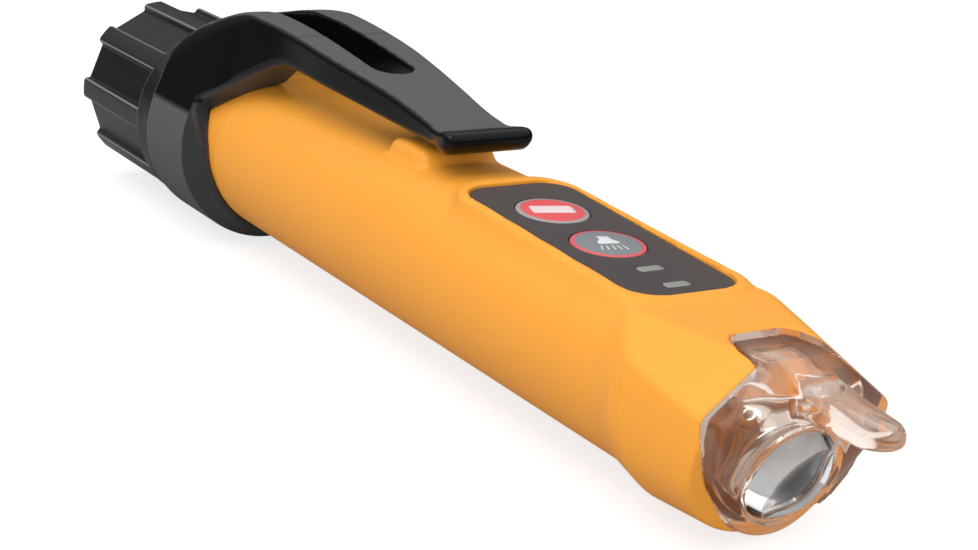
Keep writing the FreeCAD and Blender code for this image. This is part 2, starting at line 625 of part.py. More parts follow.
b = new_body("battery_cap")
sk = poly(b, "cap_profile", "XZ_Plane", [
    (0, 0), (0, 10.5), (0.6, V("cap_panel_radius")), (20.3, V("cap_panel_radius")),
    (20.5, V("cap_band_radius", -0.15)), (20.65, V("cap_band_radius")),
    (V("cap_length", -0.4), V("cap_band_radius")), (V("cap_length"), V("cap_band_radius", -0.4)),
    (V("cap_length"), V("cap_seal_bore")), (18.4, V("cap_seal_bore")), (18.4, V("cap_thread_bore")),
    (2.6, V("cap_thread_bore")), (2.6, 0)])
revolve(b, "cap_turned", sk)
sk = poly(b, "cap_thread_profile", "XZ_Plane", [
    (10.9, 8.85), (12.3, 8.85), (11.95, 8.2), (11.25, 8.2)])
h = b.newObject("PartDesign::AdditiveHelix", "cap_thread")
h.Profile = sk
h.ReferenceAxis = (plane_of(b, "X_Axis"), [""])
h.Mode = "pitch-height-angle"
bind(h, "Pitch", V("thread_pitch"))
h.Height = 4.8
doc.recompute()
a0 = math.radians(179.0)
half = 1.42


def turned(u, w):
    return (u * math.cos(a0) - w * math.sin(a0), u * math.sin(a0) + w * math.cos(a0))


ridge = D["cap_rib_radius"]
rib_pts = [turned(10.4, -half - 0.1), turned(ridge - 0.35, -half), turned(ridge - 0.08, -half + 0.3),
           turned(ridge - 0.08, half - 0.3), turned(ridge - 0.35, half), turned(10.4, half + 0.1)]
sk = poly(b, "rib_section", "YZ_Plane", rib_pts, along_x(0.3))
rib = pad(b, "rib", sk, 20.4)
pp = b.newObject("PartDesign::PolarPattern", "ribs")
pp.Originals = [rib]
pp.Axis = (plane_of(b, "X_Axis"), [""])
pp.Angle = 360.0
pp.Occurrences = 9
b.Tip = pp
doc.recompute()
done(b)

# ----------------------------------------------------------------- pocket clip
TOP = [(25.1, 13.6), (27.0, 14.5), (31.1, 15.9), (37.0, 17.5), (42.0, 18.4), (48.0, 18.5), (55.5, 18.05)]
ARM_TOP = [(55.5, 18.05), (66.0, 16.95), (76.0, 15.65), (84.5, 14.15), (87.0, 13.95), (88.6, 14.2),
           (90.0, 14.05), (90.7, 13.3)]
ARM_LOW = [(90.8, 12.45), (90.3, 11.9), (89.4, 11.6), (84.0, 11.75), (76.0, 12.55), (66.0, 13.4), (60.0, 13.85),
           (55.5, 14.05)]

b = new_body("clip_collar")
sk = poly(b, "collar_profile", "XZ_Plane", [
    (V("collar_rear_x"), V("collar_bore")), (V("collar_rear_x"), V("collar_radius", -0.25)),
    (25.5, V("collar_radius", -0.02)), (36.9, V("collar_radius", -0.15)), (V("collar_front_x", -0.1), 10.75),
    (V("collar_front_x", -0.1), V("collar_bore"))])
revolve(b, "collar_ring", sk)
sk = poly(b, "ring_front_side", "XZ_Plane", [
    (41.3, -4.0), (39.8, 0.9), (38.4, 3.3), (37.3, 4.95), (36.95, 5.7), (36.95, 14.0), (43.0, 14.0), (43.0, -4.0)])
pocket(b, "ring_front_slope", sk, 30.0, both=True)
sk = poly(b, "hook_side", "XZ_Plane", [
    (25.1, 4.0)] + TOP + [(55.5, 14.05), (53.0, 13.9), (50.7, 13.3), (46.0, 11.1), (44.2, 10.25), (40.3, 8.3),
                          (36.0, 6.0), (34.2, 4.0)])
pad(b, "hook_block", sk, 25.2, both=True)
for tag, s in (("near", -1.0), ("far", 1.0)):
    sk = poly(b, "hook_plan_" + tag, "XY_Plane", [
        (24.0, s * 12.64), (35.0, s * 12.3), (39.5, s * 10.3), (43.0, s * 9.1), (46.0, s * 8.55), (50.0, s * 8.1),
        (53.5, s * 7.5), (55.5, s * 7.25), (58.0, s * 7.1), (58.0, s * 16.0), (24.0, s * 16.0)], at_z(-1.0))
    pocket(b, "hook_side_" + tag, sk, 24.0, flip=True)
    # flanks lean inward, tangent to the ring
    sk = poly(b, "shoulder_" + tag, "YZ_Plane", [
        (s * 12.81, 2.0), (s * 6.66, 18.0), (s * 6.3, 22.0), (s * 16.0, 22.0), (s * 16.0, 2.0)], along_x(20.0))
    pocket(b, "shoulder_cut_" + tag, sk, 40.0, flip=True)
    # the crown is rounded off towards the cap
    sk = poly(b, "crown_near_cap_" + tag, "YZ_Plane", [
        (s * 9.6, 10.4), (s * 7.6, 12.9), (s * 5.2, 14.9), (s * 2.6, 16.0), (s * 2.6, 22.0), (s * 14.0, 22.0),
        (s * 14.0, 10.4)], along_x(20.0))
    pocket(b, "crown_round_" + tag, sk, 12.5, flip=True)
    sk = poly(b, "crown_mid_" + tag, "YZ_Plane", [
        (s * 8.9, 12.0), (s * 7.4, 14.6), (s * 5.4, 16.6), (s * 3.2, 17.6), (s * 3.2, 22.0), (s * 14.0, 22.0),
        (s * 14.0, 12.0)], along_x(32.5))
    pocket(b, "crown_soft_" + tag, sk, 7.0, flip=True)
# tube passes through the collar
sk = poly(b, "collar_bore_profile", "XZ_Plane", [
    (20.0, 0), (20.0, V("collar_bore")), (V("collar_front_x", -0.06), V("collar_bore")),
    (V("collar_front_x", -0.06), 10.9), (60.0, 10.9), (60.0, 0)])
groove(b, "collar_bore_cut", sk)
sk = shape(b, "fork_slot_plan", "XY_Plane", rrect(62.0, 0, 56.0, 2 * D["slot_half_width"], 2.4), at_z(11.2))
pocket(b, "fork_slot", sk, 12.0, flip=True)
done(b)

b = new_body("clip_arm")
sk = poly(b, "arm_side", "XZ_Plane", ARM_TOP + ARM_LOW)
pad(b, "arm_block", sk, 14.5, both=True)
for tag, s in (("near", -1.0), ("far", 1.0)):
    sk = poly(b, "arm_plan_" + tag, "XY_Plane", [
        (54.0, s * 7.35), (55.5, s * 7.25), (62.8, s * 6.75), (69.0, s * 5.95), (80.0, s * 4.8), (85.5, s * 4.85),
        (88.0, s * 5.3), (89.6, s * 5.5), (90.4, s * 5.2), (90.9, s * 4.4), (93.0, s * 4.4), (93.0, s * 9.0),
        (54.0, s * 9.0)], at_z(10.0))
    pocket(b, "arm_edge_" + tag, sk, 12.0, flip=True)
    sk = poly(b, "arm_lean_" + tag, "YZ_Plane", [
        (s * 7.6, 12.0), (s * 6.6, 18.1), (s * 6.4, 20.0), (s * 9.0, 20.0), (s * 9.0, 12.0)], along_x(50.0))
    pocket(b, "arm_flank_" + tag, sk, 14.0, flip=True)
sk = shape(b, "arm_slot_plan", "XY_Plane", rrect(53.0, 0, 34.0, 2 * D["slot_half_width"], 2.4), at_z(10.0))
pocket(b, "arm_slot", sk, 12.0, flip=True)
done(b)

doc.recompute()
bad = []
for o in doc.Objects:
    if "Invalid" in o.State or "Error" in o.State:
        bad.append(o.Name + " " + str(o.State))
for o in bodies:
    s = o.Shape
    if s.isNull() or not s.isValid() or s.Volume <= 0:
        bad.append("shape " + o.Label)
if bad:
    raise RuntimeError("; ".join(bad))
for o in bodies:
    bb = o.Shape.BoundBox
    print("%-24s vol %9.2f solids %d  x %.2f..%.2f y %.2f..%.2f z %.2f..%.2f" % (
        o.Label, o.Shape.Volume, len(o.Shape.Solids), bb.XMin, bb.XMax, bb.YMin, bb.YMax, bb.ZMin, bb.ZMax))
    o.Shape.exportStep("parts/%s.step" % o.Label)
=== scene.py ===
import math

import bmesh
import bpy
import numpy as np
from mathutils import Matrix, Vector


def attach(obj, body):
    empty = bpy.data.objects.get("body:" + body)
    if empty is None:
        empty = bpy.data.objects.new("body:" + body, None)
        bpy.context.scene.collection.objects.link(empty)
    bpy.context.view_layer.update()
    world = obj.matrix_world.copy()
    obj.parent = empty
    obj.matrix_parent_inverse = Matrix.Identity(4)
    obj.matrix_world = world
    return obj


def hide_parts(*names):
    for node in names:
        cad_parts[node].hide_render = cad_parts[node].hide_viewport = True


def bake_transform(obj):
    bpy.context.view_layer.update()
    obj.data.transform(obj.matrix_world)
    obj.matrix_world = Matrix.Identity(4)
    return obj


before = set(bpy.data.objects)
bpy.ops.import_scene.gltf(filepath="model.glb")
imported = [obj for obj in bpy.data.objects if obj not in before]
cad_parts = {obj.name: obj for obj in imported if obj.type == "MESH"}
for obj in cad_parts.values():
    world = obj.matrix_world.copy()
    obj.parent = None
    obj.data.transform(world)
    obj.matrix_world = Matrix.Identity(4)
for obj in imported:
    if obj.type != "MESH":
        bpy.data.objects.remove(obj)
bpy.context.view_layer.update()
MM = 0.001


# ------------------------------------------------------------------ materials
def material(name):
    m = bpy.data.materials.new(name)
    m.use_nodes = True
    nt = m.node_tree
    bsdf = nt.nodes.get("Principled BSDF")
    return m, nt, bsdf


def node(nt, kind, **vals):
    n = nt.nodes.new(kind)
    for k, v in vals.items():
        if k.startswith("in_"):
            n.inputs[k[3:].replace("_", " ")].default_value = v
        else:
            setattr(n, k, v)
    return n


def math_node(nt, op, a, b=None, clamp=False):
    n = nt.nodes.new("ShaderNodeMath")
    n.operation = op
    n.use_clamp = clamp
    for i, v in enumerate((a, b)):
        if v is None:
            continue
        if isinstance(v, (int, float)):
            n.inputs[i].default_value = v
        else:
            nt.links.new(v, n.inputs[i])
    return n.outputs[0]


def mix_color(nt, fac, a, b):
    n = nt.nodes.new("ShaderNodeMix")
    n.data_type = "RGBA"
    for i, v in ((0, fac), (6, a), (7, b)):
        if isinstance(v, (int, float)):
            n.inputs[i].default_value = v
        elif isinstance(v, (tuple, list)):
            n.inputs[i].default_value = tuple(v) if len(v) == 4 else (*v, 1.0)
        else:
            nt.links.new(v, n.inputs[i])
    return n.outputs[2]


def mix_value(nt, fac, a, b):
    n = nt.nodes.new("ShaderNodeMix")
    n.data_type = "FLOAT"
    for i, v in ((0, fac), (2, a), (3, b)):
        if isinstance(v, (int, float)):
            n.inputs[i].default_value = v
        else:
            nt.links.new(v, n.inputs[i])
    return n.outputs[0]


def grain(nt, bsdf, scale, strength, distance=0.00005, detail=3.0, height=None):
    tc = nt.nodes.new("ShaderNodeTexCoord")
    nz = node(nt, "ShaderNodeTexNoise", in_Scale=scale, in_Detail=detail, in_Roughness=0.6)
    nt.links.new(tc.outputs["Object"], nz.inputs["Vector"])
    bp = node(nt, "ShaderNodeBump", in_Strength=strength, in_Distance=distance)
    nt.links.new(nz.outputs["Fac"], bp.inputs["Height"])
    nt.links.new(bp.outputs["Normal"], bsdf.inputs["Normal"])
    return nz, bp


def simple(name, color, rough=0.4, metal=0.0, scale=900.0, bump=0.15, var=0.06, coat=0.0, spec=0.5, emit=0.0):
    m, nt, bsdf = material(name)
    nz, bp = grain(nt, bsdf, scale, bump)
    dark = tuple(c * (1 - var) for c in color)
    lite = tuple(min(1, c * (1 + var)) for c in color)
    nt.links.new(mix_color(nt, nz.outputs["Fac"], dark, lite), bsdf.inputs["Base Color"])
    nt.links.new(mix_value(nt, nz.outputs["Fac"], max(0.02, rough - 0.04), rough + 0.04), bsdf.inputs["Roughness"])
    bsdf.inputs["Metallic"].default_value = metal
    bsdf.inputs["Coat Weight"].default_value = coat
    bsdf.inputs["Specular IOR Level"].default_value = spec
    if emit:
        bsdf.inputs["Emission Color"].default_value = (*color, 1)
        bsdf.inputs["Emission Strength"].default_value = emit
    return m


def srgb(r, g, b):
    def f(c):
        c /= 255.0
        return c / 12.92 if c <= 0.04045 else ((c + 0.055) / 1.055) ** 2.4
    return (f(r), f(g), f(b))


def orange_plastic():
    m, nt, bsdf = material("orange_housing")
    tc = nt.nodes.new("ShaderNodeTexCoord")
    fine = node(nt, "ShaderNodeTexNoise", in_Scale=2600.0, in_Detail=2.0)
    broad = node(nt, "ShaderNodeTexNoise", in_Scale=60.0, in_Detail=3.0)
    for n in (fine, broad):
        nt.links.new(tc.outputs["Object"], n.inputs["Vector"])
    bp = node(nt, "ShaderNodeBump", in_Strength=0.10, in_Distance=0.00003)
    nt.links.new(fine.outputs["Fac"], bp.inputs["Height"])
    nt.links.new(bp.outputs["Normal"], bsdf.inputs["Normal"])
    nt.links.new(mix_color(nt, broad.outputs["Fac"], srgb(247, 164, 56), srgb(251, 169, 60)), bsdf.inputs["Base Color"])
    nt.links.new(mix_value(nt, broad.outputs["Fac"], 0.46, 0.54), bsdf.inputs["Roughness"])
    bsdf.inputs["Subsurface Weight"].default_value = 0.05
    bsdf.inputs["Subsurface Radius"].default_value = (1.0, 0.5, 0.15)
    bsdf.inputs["Subsurface Scale"].default_value = 0.0010
    bsdf.inputs["Specular IOR Level"].default_value = 0.30
    return m


def clip_plastic():
    """Fine matte texture where the attribute 'matte' is 1, polished black elsewhere; thin witness line at the seam; a
    painted highlight line along the collar's rear rim.
    """
    m, nt, bsdf = material("clip_black")
    tc = nt.nodes.new("ShaderNodeTexCoord")
    at = node(nt, "ShaderNodeAttribute", attribute_name="matte")
    ln = node(nt, "ShaderNodeAttribute", attribute_name="seam")
    fine = node(nt, "ShaderNodeTexNoise", in_Scale=3200.0, in_Detail=3.0, in_Roughness=0.7)
    nt.links.new(tc.outputs["Object"], fine.inputs["Vector"])
    st = mix_value(nt, at.outputs["Fac"], 0.12, 0.55)
    bp = node(nt, "ShaderNodeBump", in_Distance=0.00004)
    nt.links.new(st, bp.inputs["Strength"])
    nt.links.new(fine.outputs["Fac"], bp.inputs["Height"])
    nt.links.new(bp.outputs["Normal"], bsdf.inputs["Normal"])
    base = mix_color(nt, at.outputs["Fac"], (0.0035, 0.0035, 0.0035), srgb(88, 88, 89))
    base = mix_color(nt, math_node(nt, "MULTIPLY", ln.outputs["Fac"], 0.8), base, srgb(20, 20, 20))
    # painted highlight: a thin light line on the rounded rear rim edge of the collar, at x = 25.32 mm
    sep = nt.nodes.new("ShaderNodeSeparateXYZ")
    nt.links.new(tc.outputs["Object"], sep.inputs[0])
    off = math_node(nt, "ABSOLUTE", math_node(nt, "SUBTRACT", sep.outputs["X"], 0.02532))
    edge = math_node(nt, "SUBTRACT", 1.0, math_node(nt, "DIVIDE", off, 0.00016), clamp=True)
    base = mix_color(nt, math_node(nt, "MULTIPLY", edge, 0.7), base, srgb(128, 130, 136))
    nt.links.new(base, bsdf.inputs["Base Color"])
    nt.links.new(mix_value(nt, at.outputs["Fac"], 0.17, 0.60), bsdf.inputs["Roughness"])
    nt.links.new(mix_value(nt, at.outputs["Fac"], 0.20, 0.15), bsdf.inputs["Specular IOR Level"])
    return m


def cap_plastic():
    """Black cap; the rib edges and the rim of each sunk panel carry painted highlight lines."""
    m, nt, bsdf = material("cap_black")
    tc = nt.nodes.new("ShaderNodeTexCoord")
    sep = nt.nodes.new("ShaderNodeSeparateXYZ")
    nt.links.new(tc.outputs["Object"], sep.inputs[0])
    fine = node(nt, "ShaderNodeTexNoise", in_Scale=2400.0, in_Detail=3.0)
    nt.links.new(tc.outputs["Object"], fine.inputs["Vector"])
    bp = node(nt, "ShaderNodeBump", in_Strength=0.25, in_Distance=0.00004)
    nt.links.new(fine.outputs["Fac"], bp.inputs["Height"])
    nt.links.new(bp.outputs["Normal"], bsdf.inputs["Normal"])
    y2 = math_node(nt, "MULTIPLY", sep.outputs["Y"], sep.outputs["Y"])
    z2 = math_node(nt, "MULTIPLY", sep.outputs["Z"], sep.outputs["Z"])
    r = math_node(nt, "SQRT", math_node(nt, "ADD", y2, z2))
    th = math_node(nt, "ARCTAN2", sep.outputs["Z"], sep.outputs["Y"])
    rel = math_node(nt, "PINGPONG", math_node(nt, "SUBTRACT", th, math.radians(179.0 - 720.0)), math.radians(20.0))
    s_ = math_node(nt, "MULTIPLY", r, math_node(nt, "SINE", rel))

    def line(value, at, half):
        d = math_node(nt, "ABSOLUTE", math_node(nt, "SUBTRACT", value, at))
        return math_node(nt, "SUBTRACT", 1.0, math_node(nt, "DIVIDE", d, half), clamp=True)

    # painted highlight: thin light lines along the rib sides and across the front rim of each sunk panel, standing in
    # for edge catch light
    behind = math_node(nt, "LESS_THAN", sep.outputs["X"], 0.02075)
    high = math_node(nt, "GREATER_THAN", r, 0.01185)
    ribs = math_node(nt, "MULTIPLY", math_node(nt, "MULTIPLY", line(s_, 0.00130, 0.00014), behind), high)
    front = math_node(nt, "MULTIPLY", line(sep.outputs["X"], 0.02068, 0.00014), math_node(nt, "GREATER_THAN", s_, 0.00120))
    painted_edge_highlight = math_node(nt, "MAXIMUM", ribs, front)
    base = mix_color(nt, fine.outputs["Fac"], srgb(15, 15, 17), srgb(22, 21, 24))
    on_rib = math_node(nt, "MULTIPLY", math_node(nt, "LESS_THAN", s_, 0.00130), math_node(nt, "GREATER_THAN", r, 0.0120))
    base = mix_color(nt, on_rib, base, srgb(33, 32, 34))
    # the light grey mixed in here is the painted edge highlight
    base = mix_color(nt, math_node(nt, "MULTIPLY", painted_edge_highlight, 0.85), base, srgb(150, 148, 150))
    nt.links.new(base, bsdf.inputs["Base Color"])
    nt.links.new(mix_value(nt, fine.outputs["Fac"], 0.30, 0.40), bsdf.inputs["Roughness"])
    bsdf.inputs["Specular IOR Level"].default_value = 0.28
    return m


def clear_plastic(name, tint, rough=0.02, ior=1.49, haze=0.0, haze_color=(0.8, 0.6, 0.45)):
    m, nt, bsdf = material(name)
    nz, bp = grain(nt, bsdf, 180.0, 0.05, distance=0.0002)
    nt.links.new(mix_color(nt, nz.outputs["Fac"], tuple(c * 0.985 for c in tint), tint), bsdf.inputs["Base Color"])
    bsdf.inputs["Roughness"].default_value = rough
    bsdf.inputs["IOR"].default_value = ior
    bsdf.inputs["Transmission Weight"].default_value = 1.0
    surface = bsdf.outputs[0]
    if haze:
        tc = nt.nodes.new("ShaderNodeTexCoord")
        cloud = node(nt, "ShaderNodeTexNoise", in_Scale=210.0, in_Detail=3.0, in_Roughness=0.55, in_Distortion=0.8)
        nt.links.new(tc.outputs["Object"], cloud.inputs["Vector"])
        milky = node(nt, "ShaderNodeBsdfDiffuse")
        spread = node(nt, "ShaderNodeMapRange")
        nt.links.new(cloud.outputs["Fac"], spread.inputs["Value"])
        spread.inputs["From Min"].default_value = 0.38
        spread.inputs["From Max"].default_value = 0.66
        col = mix_color(nt, spread.outputs["Result"], haze_color, (0.80, 0.70, 0.62))
        nt.links.new(col, milky.inputs["Color"])
        mh = nt.nodes.new("ShaderNodeMixShader")
        mh.inputs[0].default_value = haze
        nt.links.new(surface, mh.inputs[1])
        nt.links.new(milky.outputs[0], mh.inputs[2])
        surface = mh.outputs[0]
    # lets direct light reach what sits behind the clear wall
    lp = nt.nodes.new("ShaderNodeLightPath")
    clear = node(nt, "ShaderNodeBsdfTransparent")
    clear.inputs["Color"].default_value = (*tuple(0.5 + 0.5 * c for c in tint), 1.0)
    mx = nt.nodes.new("ShaderNodeMixShader")
    out = nt.nodes.get("Material Output")
    either = math_node(nt, "MAXIMUM", lp.outputs["Is Shadow Ray"], lp.outputs["Is Diffuse Ray"])
    nt.links.new(either, mx.inputs[0])
    nt.links.new(surface, mx.inputs[1])
    nt.links.new(clear.outputs[0], mx.inputs[2])
    nt.links.new(mx.outputs[0], out.inputs["Surface"])
    return m


def thin_foil(name, color, cover):
    """Fine sheet that only partly hides what is behind it."""
    m, nt, bsdf = material(name)
    grain(nt, bsdf, 900.0, 0.1)
    bsdf.inputs["Base Color"].default_value = (*color, 1.0)
    bsdf.inputs["Roughness"].default_value = 0.5
    tc = nt.nodes.new("ShaderNodeTexCoord")
    nz = node(nt, "ShaderNodeTexNoise", in_Scale=700.0, in_Detail=2.0)
    nt.links.new(tc.outputs["Object"], nz.inputs["Vector"])
    nt.links.new(mix_value(nt, nz.outputs["Fac"], cover - 0.04, cover + 0.04), bsdf.inputs["Alpha"])
    return m


M_ORANGE = orange_plastic()
M_CLIP = clip_plastic()
M_CAP = cap_plastic()
M_CLEAR = clear_plastic("nose_clear", (0.985, 0.93, 0.88), rough=0.04, ior=1.32, haze=0.12,
                        haze_color=srgb(216, 136, 78))
M_LENS = clear_plastic("lens_clear", (0.99, 0.99, 0.99), rough=0.0)
M_LABEL = simple("label_charcoal", srgb(74, 68, 67), rough=0.55, scale=2600, bump=0.35, var=0.12, spec=0.25)
M_RED = simple("key_red", srgb(226, 88, 90), rough=0.45, scale=1500, bump=0.12, var=0.03, spec=0.3)
M_RED_RING = simple("key_red_ring", srgb(214, 92, 98), rough=0.45, scale=1500, bump=0.1, var=0.03)
M_GREY = simple("key_grey", srgb(128, 134, 139), rough=0.45, scale=1500, bump=0.12, var=0.03, spec=0.3)
M_GREY_RING = simple("key_grey_ring", srgb(160, 156, 156), rough=0.42, scale=1500, bump=0.1, var=0.03)
M_INK = simple("print_light", srgb(226, 226, 224), rough=0.5, bump=0.05, var=0.02)
M_BADGE = simple("print_badge", srgb(236, 214, 216), rough=0.5, bump=0.05, var=0.02)
M_WINDOW = simple("window_milky", srgb(150, 150, 146), rough=0.25, scale=600, bump=0.05, var=0.05, coat=0.4)
M_BOARD = simple("board_pale_mask", srgb(196, 158, 124), rough=0.45, scale=500)
M_STEEL = simple("contact_nickel", (0.62, 0.61, 0.58), rough=0.28, metal=1.0, scale=700, bump=0.08)
M_CELL = simple("cell_can", (0.30, 0.31, 0.33), rough=0.32, metal=0.8, scale=200, bump=0.05)
M_CHASSIS = simple("chassis_tan", srgb(214, 128, 66), rough=0.5)
M_SEAL = simple("seal_brown", srgb(206, 118, 58), rough=0.6)
M_RUBBER = simple("rubber_black", (0.02, 0.02, 0.02), rough=0.65)
M_BRASS = thin_foil("antenna_foil", srgb(222, 214, 208), 0.14)
M_CHROME = simple("reflector_bright", (0.90, 0.91, 0.93), rough=0.06, metal=1.0, bump=0.01, var=0.01)
M_LED = simple("led_phosphor", (0.85, 0.72, 0.18), rough=0.2, coat=0.5)
M_LED_CLEAR = simple("led_resin", (0.75, 0.75, 0.70), rough=0.2, coat=0.5)
M_CHIP = simple("chip_black", (0.025, 0.025, 0.027), rough=0.45)

CAD_LOOK = {
    "main_housing": M_ORANGE, "nose_cover": M_CLEAR, "nose_seal": M_SEAL, "flashlight_lens": M_LENS,
    "lens_reflector": M_CHROME, "led_board": M_BOARD, "flashlight_led": M_LED, "antenna_plate": M_BRASS,
    "main_pcb": M_BOARD, "controller_chip": M_CHIP, "tip_led": M_LED_CLEAR, "indicator_leds": M_LED_CLEAR,
    "board_components": M_CHIP, "ncv_switch": M_STEEL, "ncv_switch_button": M_CHIP, "ncv_key": M_RED,
    "flashlight_switch": M_STEEL, "flashlight_switch_button": M_CHIP, "flashlight_key": M_GREY,
    "light_pipes": M_WINDOW, "keypad_membrane": M_RUBBER, "panel_label": M_LABEL, "inner_chassis": M_CHASSIS,
    "return_strip": M_STEEL, "front_contact": M_STEEL, "cell_rear": M_CELL, "cell_front": M_CELL,
    "piezo_buzzer": M_CHIP, "spring_contact": M_STEEL, "battery_spring": M_STEEL, "cap_seal_ring": M_RUBBER,
    "battery_cap": M_CAP, "clip_collar": M_CLIP, "clip_arm": M_CLIP,
}
for n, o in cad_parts.items():
    o.data.materials.clear()
    o.data.materials.append(CAD_LOOK[n])


# ------------------------------------------------------------ field modelling
def smin(a, b, k):
    h = np.maximum(k - np.abs(a - b), 0.0) / k
    return np.minimum(a, b) - h * h * k * 0.25


def smax(a, b, k):
    return -smin(-a, -b, k)


def smooth_curve(points, step=0.25, width=1.0):
    """Dense, lightly rounded version of a polyline y(x)."""
    p = np.array(points, float)
    x = np.arange(p[0, 0], p[-1, 0] + step, step)
    y = np.interp(x, p[:, 0], p[:, 1])
    n = max(1, int(round(width / step)))
    pad = np.concatenate([2 * y[0] - y[n:0:-1], y, 2 * y[-1] - y[-2:-n - 2:-1]])
    for _ in range(2):
        k = np.ones(n) / n
        pad = np.convolve(pad, k, mode="same")
    return x, pad[n:n + len(y)]


class Curve:
    def __init__(self, points, step=0.1, width=1.0, spline=False):
        if spline:
            p = np.array(points, float)
            x = np.arange(p[0, 0], p[-1, 0] + step, step)
            # monotone-ish cubic through the points
            h = np.diff(p[:, 0])
            d = np.diff(p[:, 1]) / h
            m = np.empty(len(p))
            m[0], m[-1] = d[0], d[-1]
            m[1:-1] = (d[:-1] * h[1:] + d[1:] * h[:-1]) / (h[1:] + h[:-1])
            i = np.clip(np.searchsorted(p[:, 0], x) - 1, 0, len(h) - 1)
            t = (x - p[i, 0]) / h[i]
            y = (p[i, 1] * (1 + 2 * t) * (1 - t) ** 2 + h[i] * m[i] * t * (1 - t) ** 2
                 + p[i + 1, 1] * t * t * (3 - 2 * t) + h[i] * m[i + 1] * t * t * (t - 1))
            self.x, self.y = x, y
        else:
            self.x, self.y = smooth_curve(points, step, width)
        self.c = 1.0 / np.sqrt(1.0 + np.gradient(self.y, self.x) ** 2)

    def __call__(self, x):
        return np.interp(x, self.x, self.y)

    def cos(self, x):
        return np.interp(x, self.x, self.c)


def nets(f, lo, hi, h):
    """Surface of f = 0 (inside negative) as vertices, quads and normals, all in mm."""
    lo, hi = np.array(lo, float), np.array(hi, float)
    n = np.ceil((hi - lo) / h).astype(int) + 1
    ax = [lo[i] + h * np.arange(n[i]) for i in range(3)]
    F = np.empty(n, np.float32)
    for i in range(0, n[0], 24):
        X, Y, Z = np.meshgrid(ax[0][i:i + 24], ax[1], ax[2], indexing="ij")
        F[i:i + 24] = f(X, Y, Z)
    S = F < 0
    corners = [(a, b, c) for a in (0, 1) for b in (0, 1) for c in (0, 1)]
    m = n - 1
    view = lambda A, a, b, c: A[a:a + m[0], b:b + m[1], c:c + m[2]]
    cnt = sum(view(S, *q).astype(np.int8) for q in corners)
    mixed = (cnt > 0) & (cnt < 8)
    idx = np.full(mixed.shape, -1, np.int64)
    cells = np.argwhere(mixed)
    idx[mixed] = np.arange(len(cells))
    acc = np.zeros((len(cells), 3))
    num = np.zeros(len(cells))
    val = {q: F[cells[:, 0] + q[0], cells[:, 1] + q[1], cells[:, 2] + q[2]].astype(float) for q in corners}
    for q in corners:
        for a in range(3):
            if q[a]:
                continue
            r = list(q)
            r[a] = 1
            v0, v1 = val[q], val[tuple(r)]
            hit = (v0 < 0) != (v1 < 0)
            t = np.where(hit, v0 / np.where(hit, v0 - v1, 1.0), 0.0)
            p = np.tile(np.array(q, float), (len(cells), 1))
            p[:, a] = t
            acc += p * hit[:, None]
            num += hit
    P = lo + (cells + acc / num[:, None]) * h
    e = 0.02

    def grad(P):
        g = np.empty_like(P)
        for a in range(3):
            d = np.zeros(3)
            d[a] = e
            A, B = P + d, P - d
            g[:, a] = (f(A[:, 0], A[:, 1], A[:, 2]) - f(B[:, 0], B[:, 1], B[:, 2])) / (2 * e)
        return g

    start = P.copy()
    for _ in range(4):
        g = grad(P)
        v = f(P[:, 0], P[:, 1], P[:, 2])
        step = -v[:, None] * g / np.maximum((g * g).sum(1), 0.05)[:, None]
        P = P + np.clip(step, -h, h)
    P = start + np.clip(P - start, -0.75 * h, 0.75 * h)
    g = grad(P)
    N = g / np.maximum(np.linalg.norm(g, axis=1), 1e-9)[:, None]
    quads = []
    for a in range(3):
        b, c = [(1, 2), (2, 0), (0, 1)][a]
        sl0 = [slice(None)] * 3
        sl1 = [slice(None)] * 3
        sl0[a], sl1[a] = slice(0, n[a] - 1), slice(1, n[a])
        A0, A1 = S[tuple(sl0)], S[tuple(sl1)]
        ch = np.argwhere(A0 != A1)
        ok = (ch[:, b] > 0) & (ch[:, b] < n[b] - 1) & (ch[:, c] > 0) & (ch[:, c] < n[c] - 1)
        ch = ch[ok]
        sign = A0[ch[:, 0], ch[:, 1], ch[:, 2]]
        q = []
        for db, dc in ((1, 1), (0, 1), (0, 0), (1, 0)):
            w = ch.copy()
            w[:, b] -= db
            w[:, c] -= dc
            q.append(idx[w[:, 0], w[:, 1], w[:, 2]])
        q = np.stack(q, 1)
        q[~sign] = q[~sign][:, ::-1]
        quads.append(q)
    return P, np.concatenate(quads), N


def field_piece(name, f, lo, hi, h, mat, body="tester", nodes=(), custom=True, clamp=None):
    P, Q, N = nets(f, lo, hi, h)
    if clamp is not None:
        P = np.minimum(np.maximum(P, np.array(clamp[0])), np.array(clamp[1]))
    me = bpy.data.meshes.new(name)
    me.from_pydata((P * MM).tolist(), [], Q.tolist())
    me.update()
    me.shade_smooth()
    if custom:
        me.normals_split_custom_set_from_vertices(N.tolist())
    o = bpy.data.objects.new(name, me)
    bpy.context.scene.collection.objects.link(o)
    me.materials.append(mat)
    if body:
        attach(o, body)
    if nodes:
        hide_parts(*nodes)
    return o, P, N


def mesh_piece(name, verts, faces, mat, body="tester", nodes=(), slot=None, smooth=True, bevel=None):
    me = bpy.data.meshes.new(name)
    me.from_pydata([tuple(c * MM for c in v) for v in verts], [], faces)
    me.update()
    if smooth:
        me.shade_smooth()
    o = bpy.data.objects.new(name, me)
    bpy.context.scene.collection.objects.link(o)
    me.materials.append(mat)
    if bevel:
        b = o.modifiers.new("bevel", "BEVEL")
        b.width = bevel * MM
        b.segments = 3
        b.limit_method = "ANGLE"
        b.harden_normals = False
    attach(o, body)
    if nodes:
        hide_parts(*nodes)
    return o


TAN_P = math.tan(math.radians(3.27))
COS_P = math.cos(math.radians(3.27))
TAN_L = math.tan(math.radians(15.7))
COS_L = math.cos(math.radians(15.7))


def panel_z(x):
    return 9.0 - TAN_P * (x - 103.0)


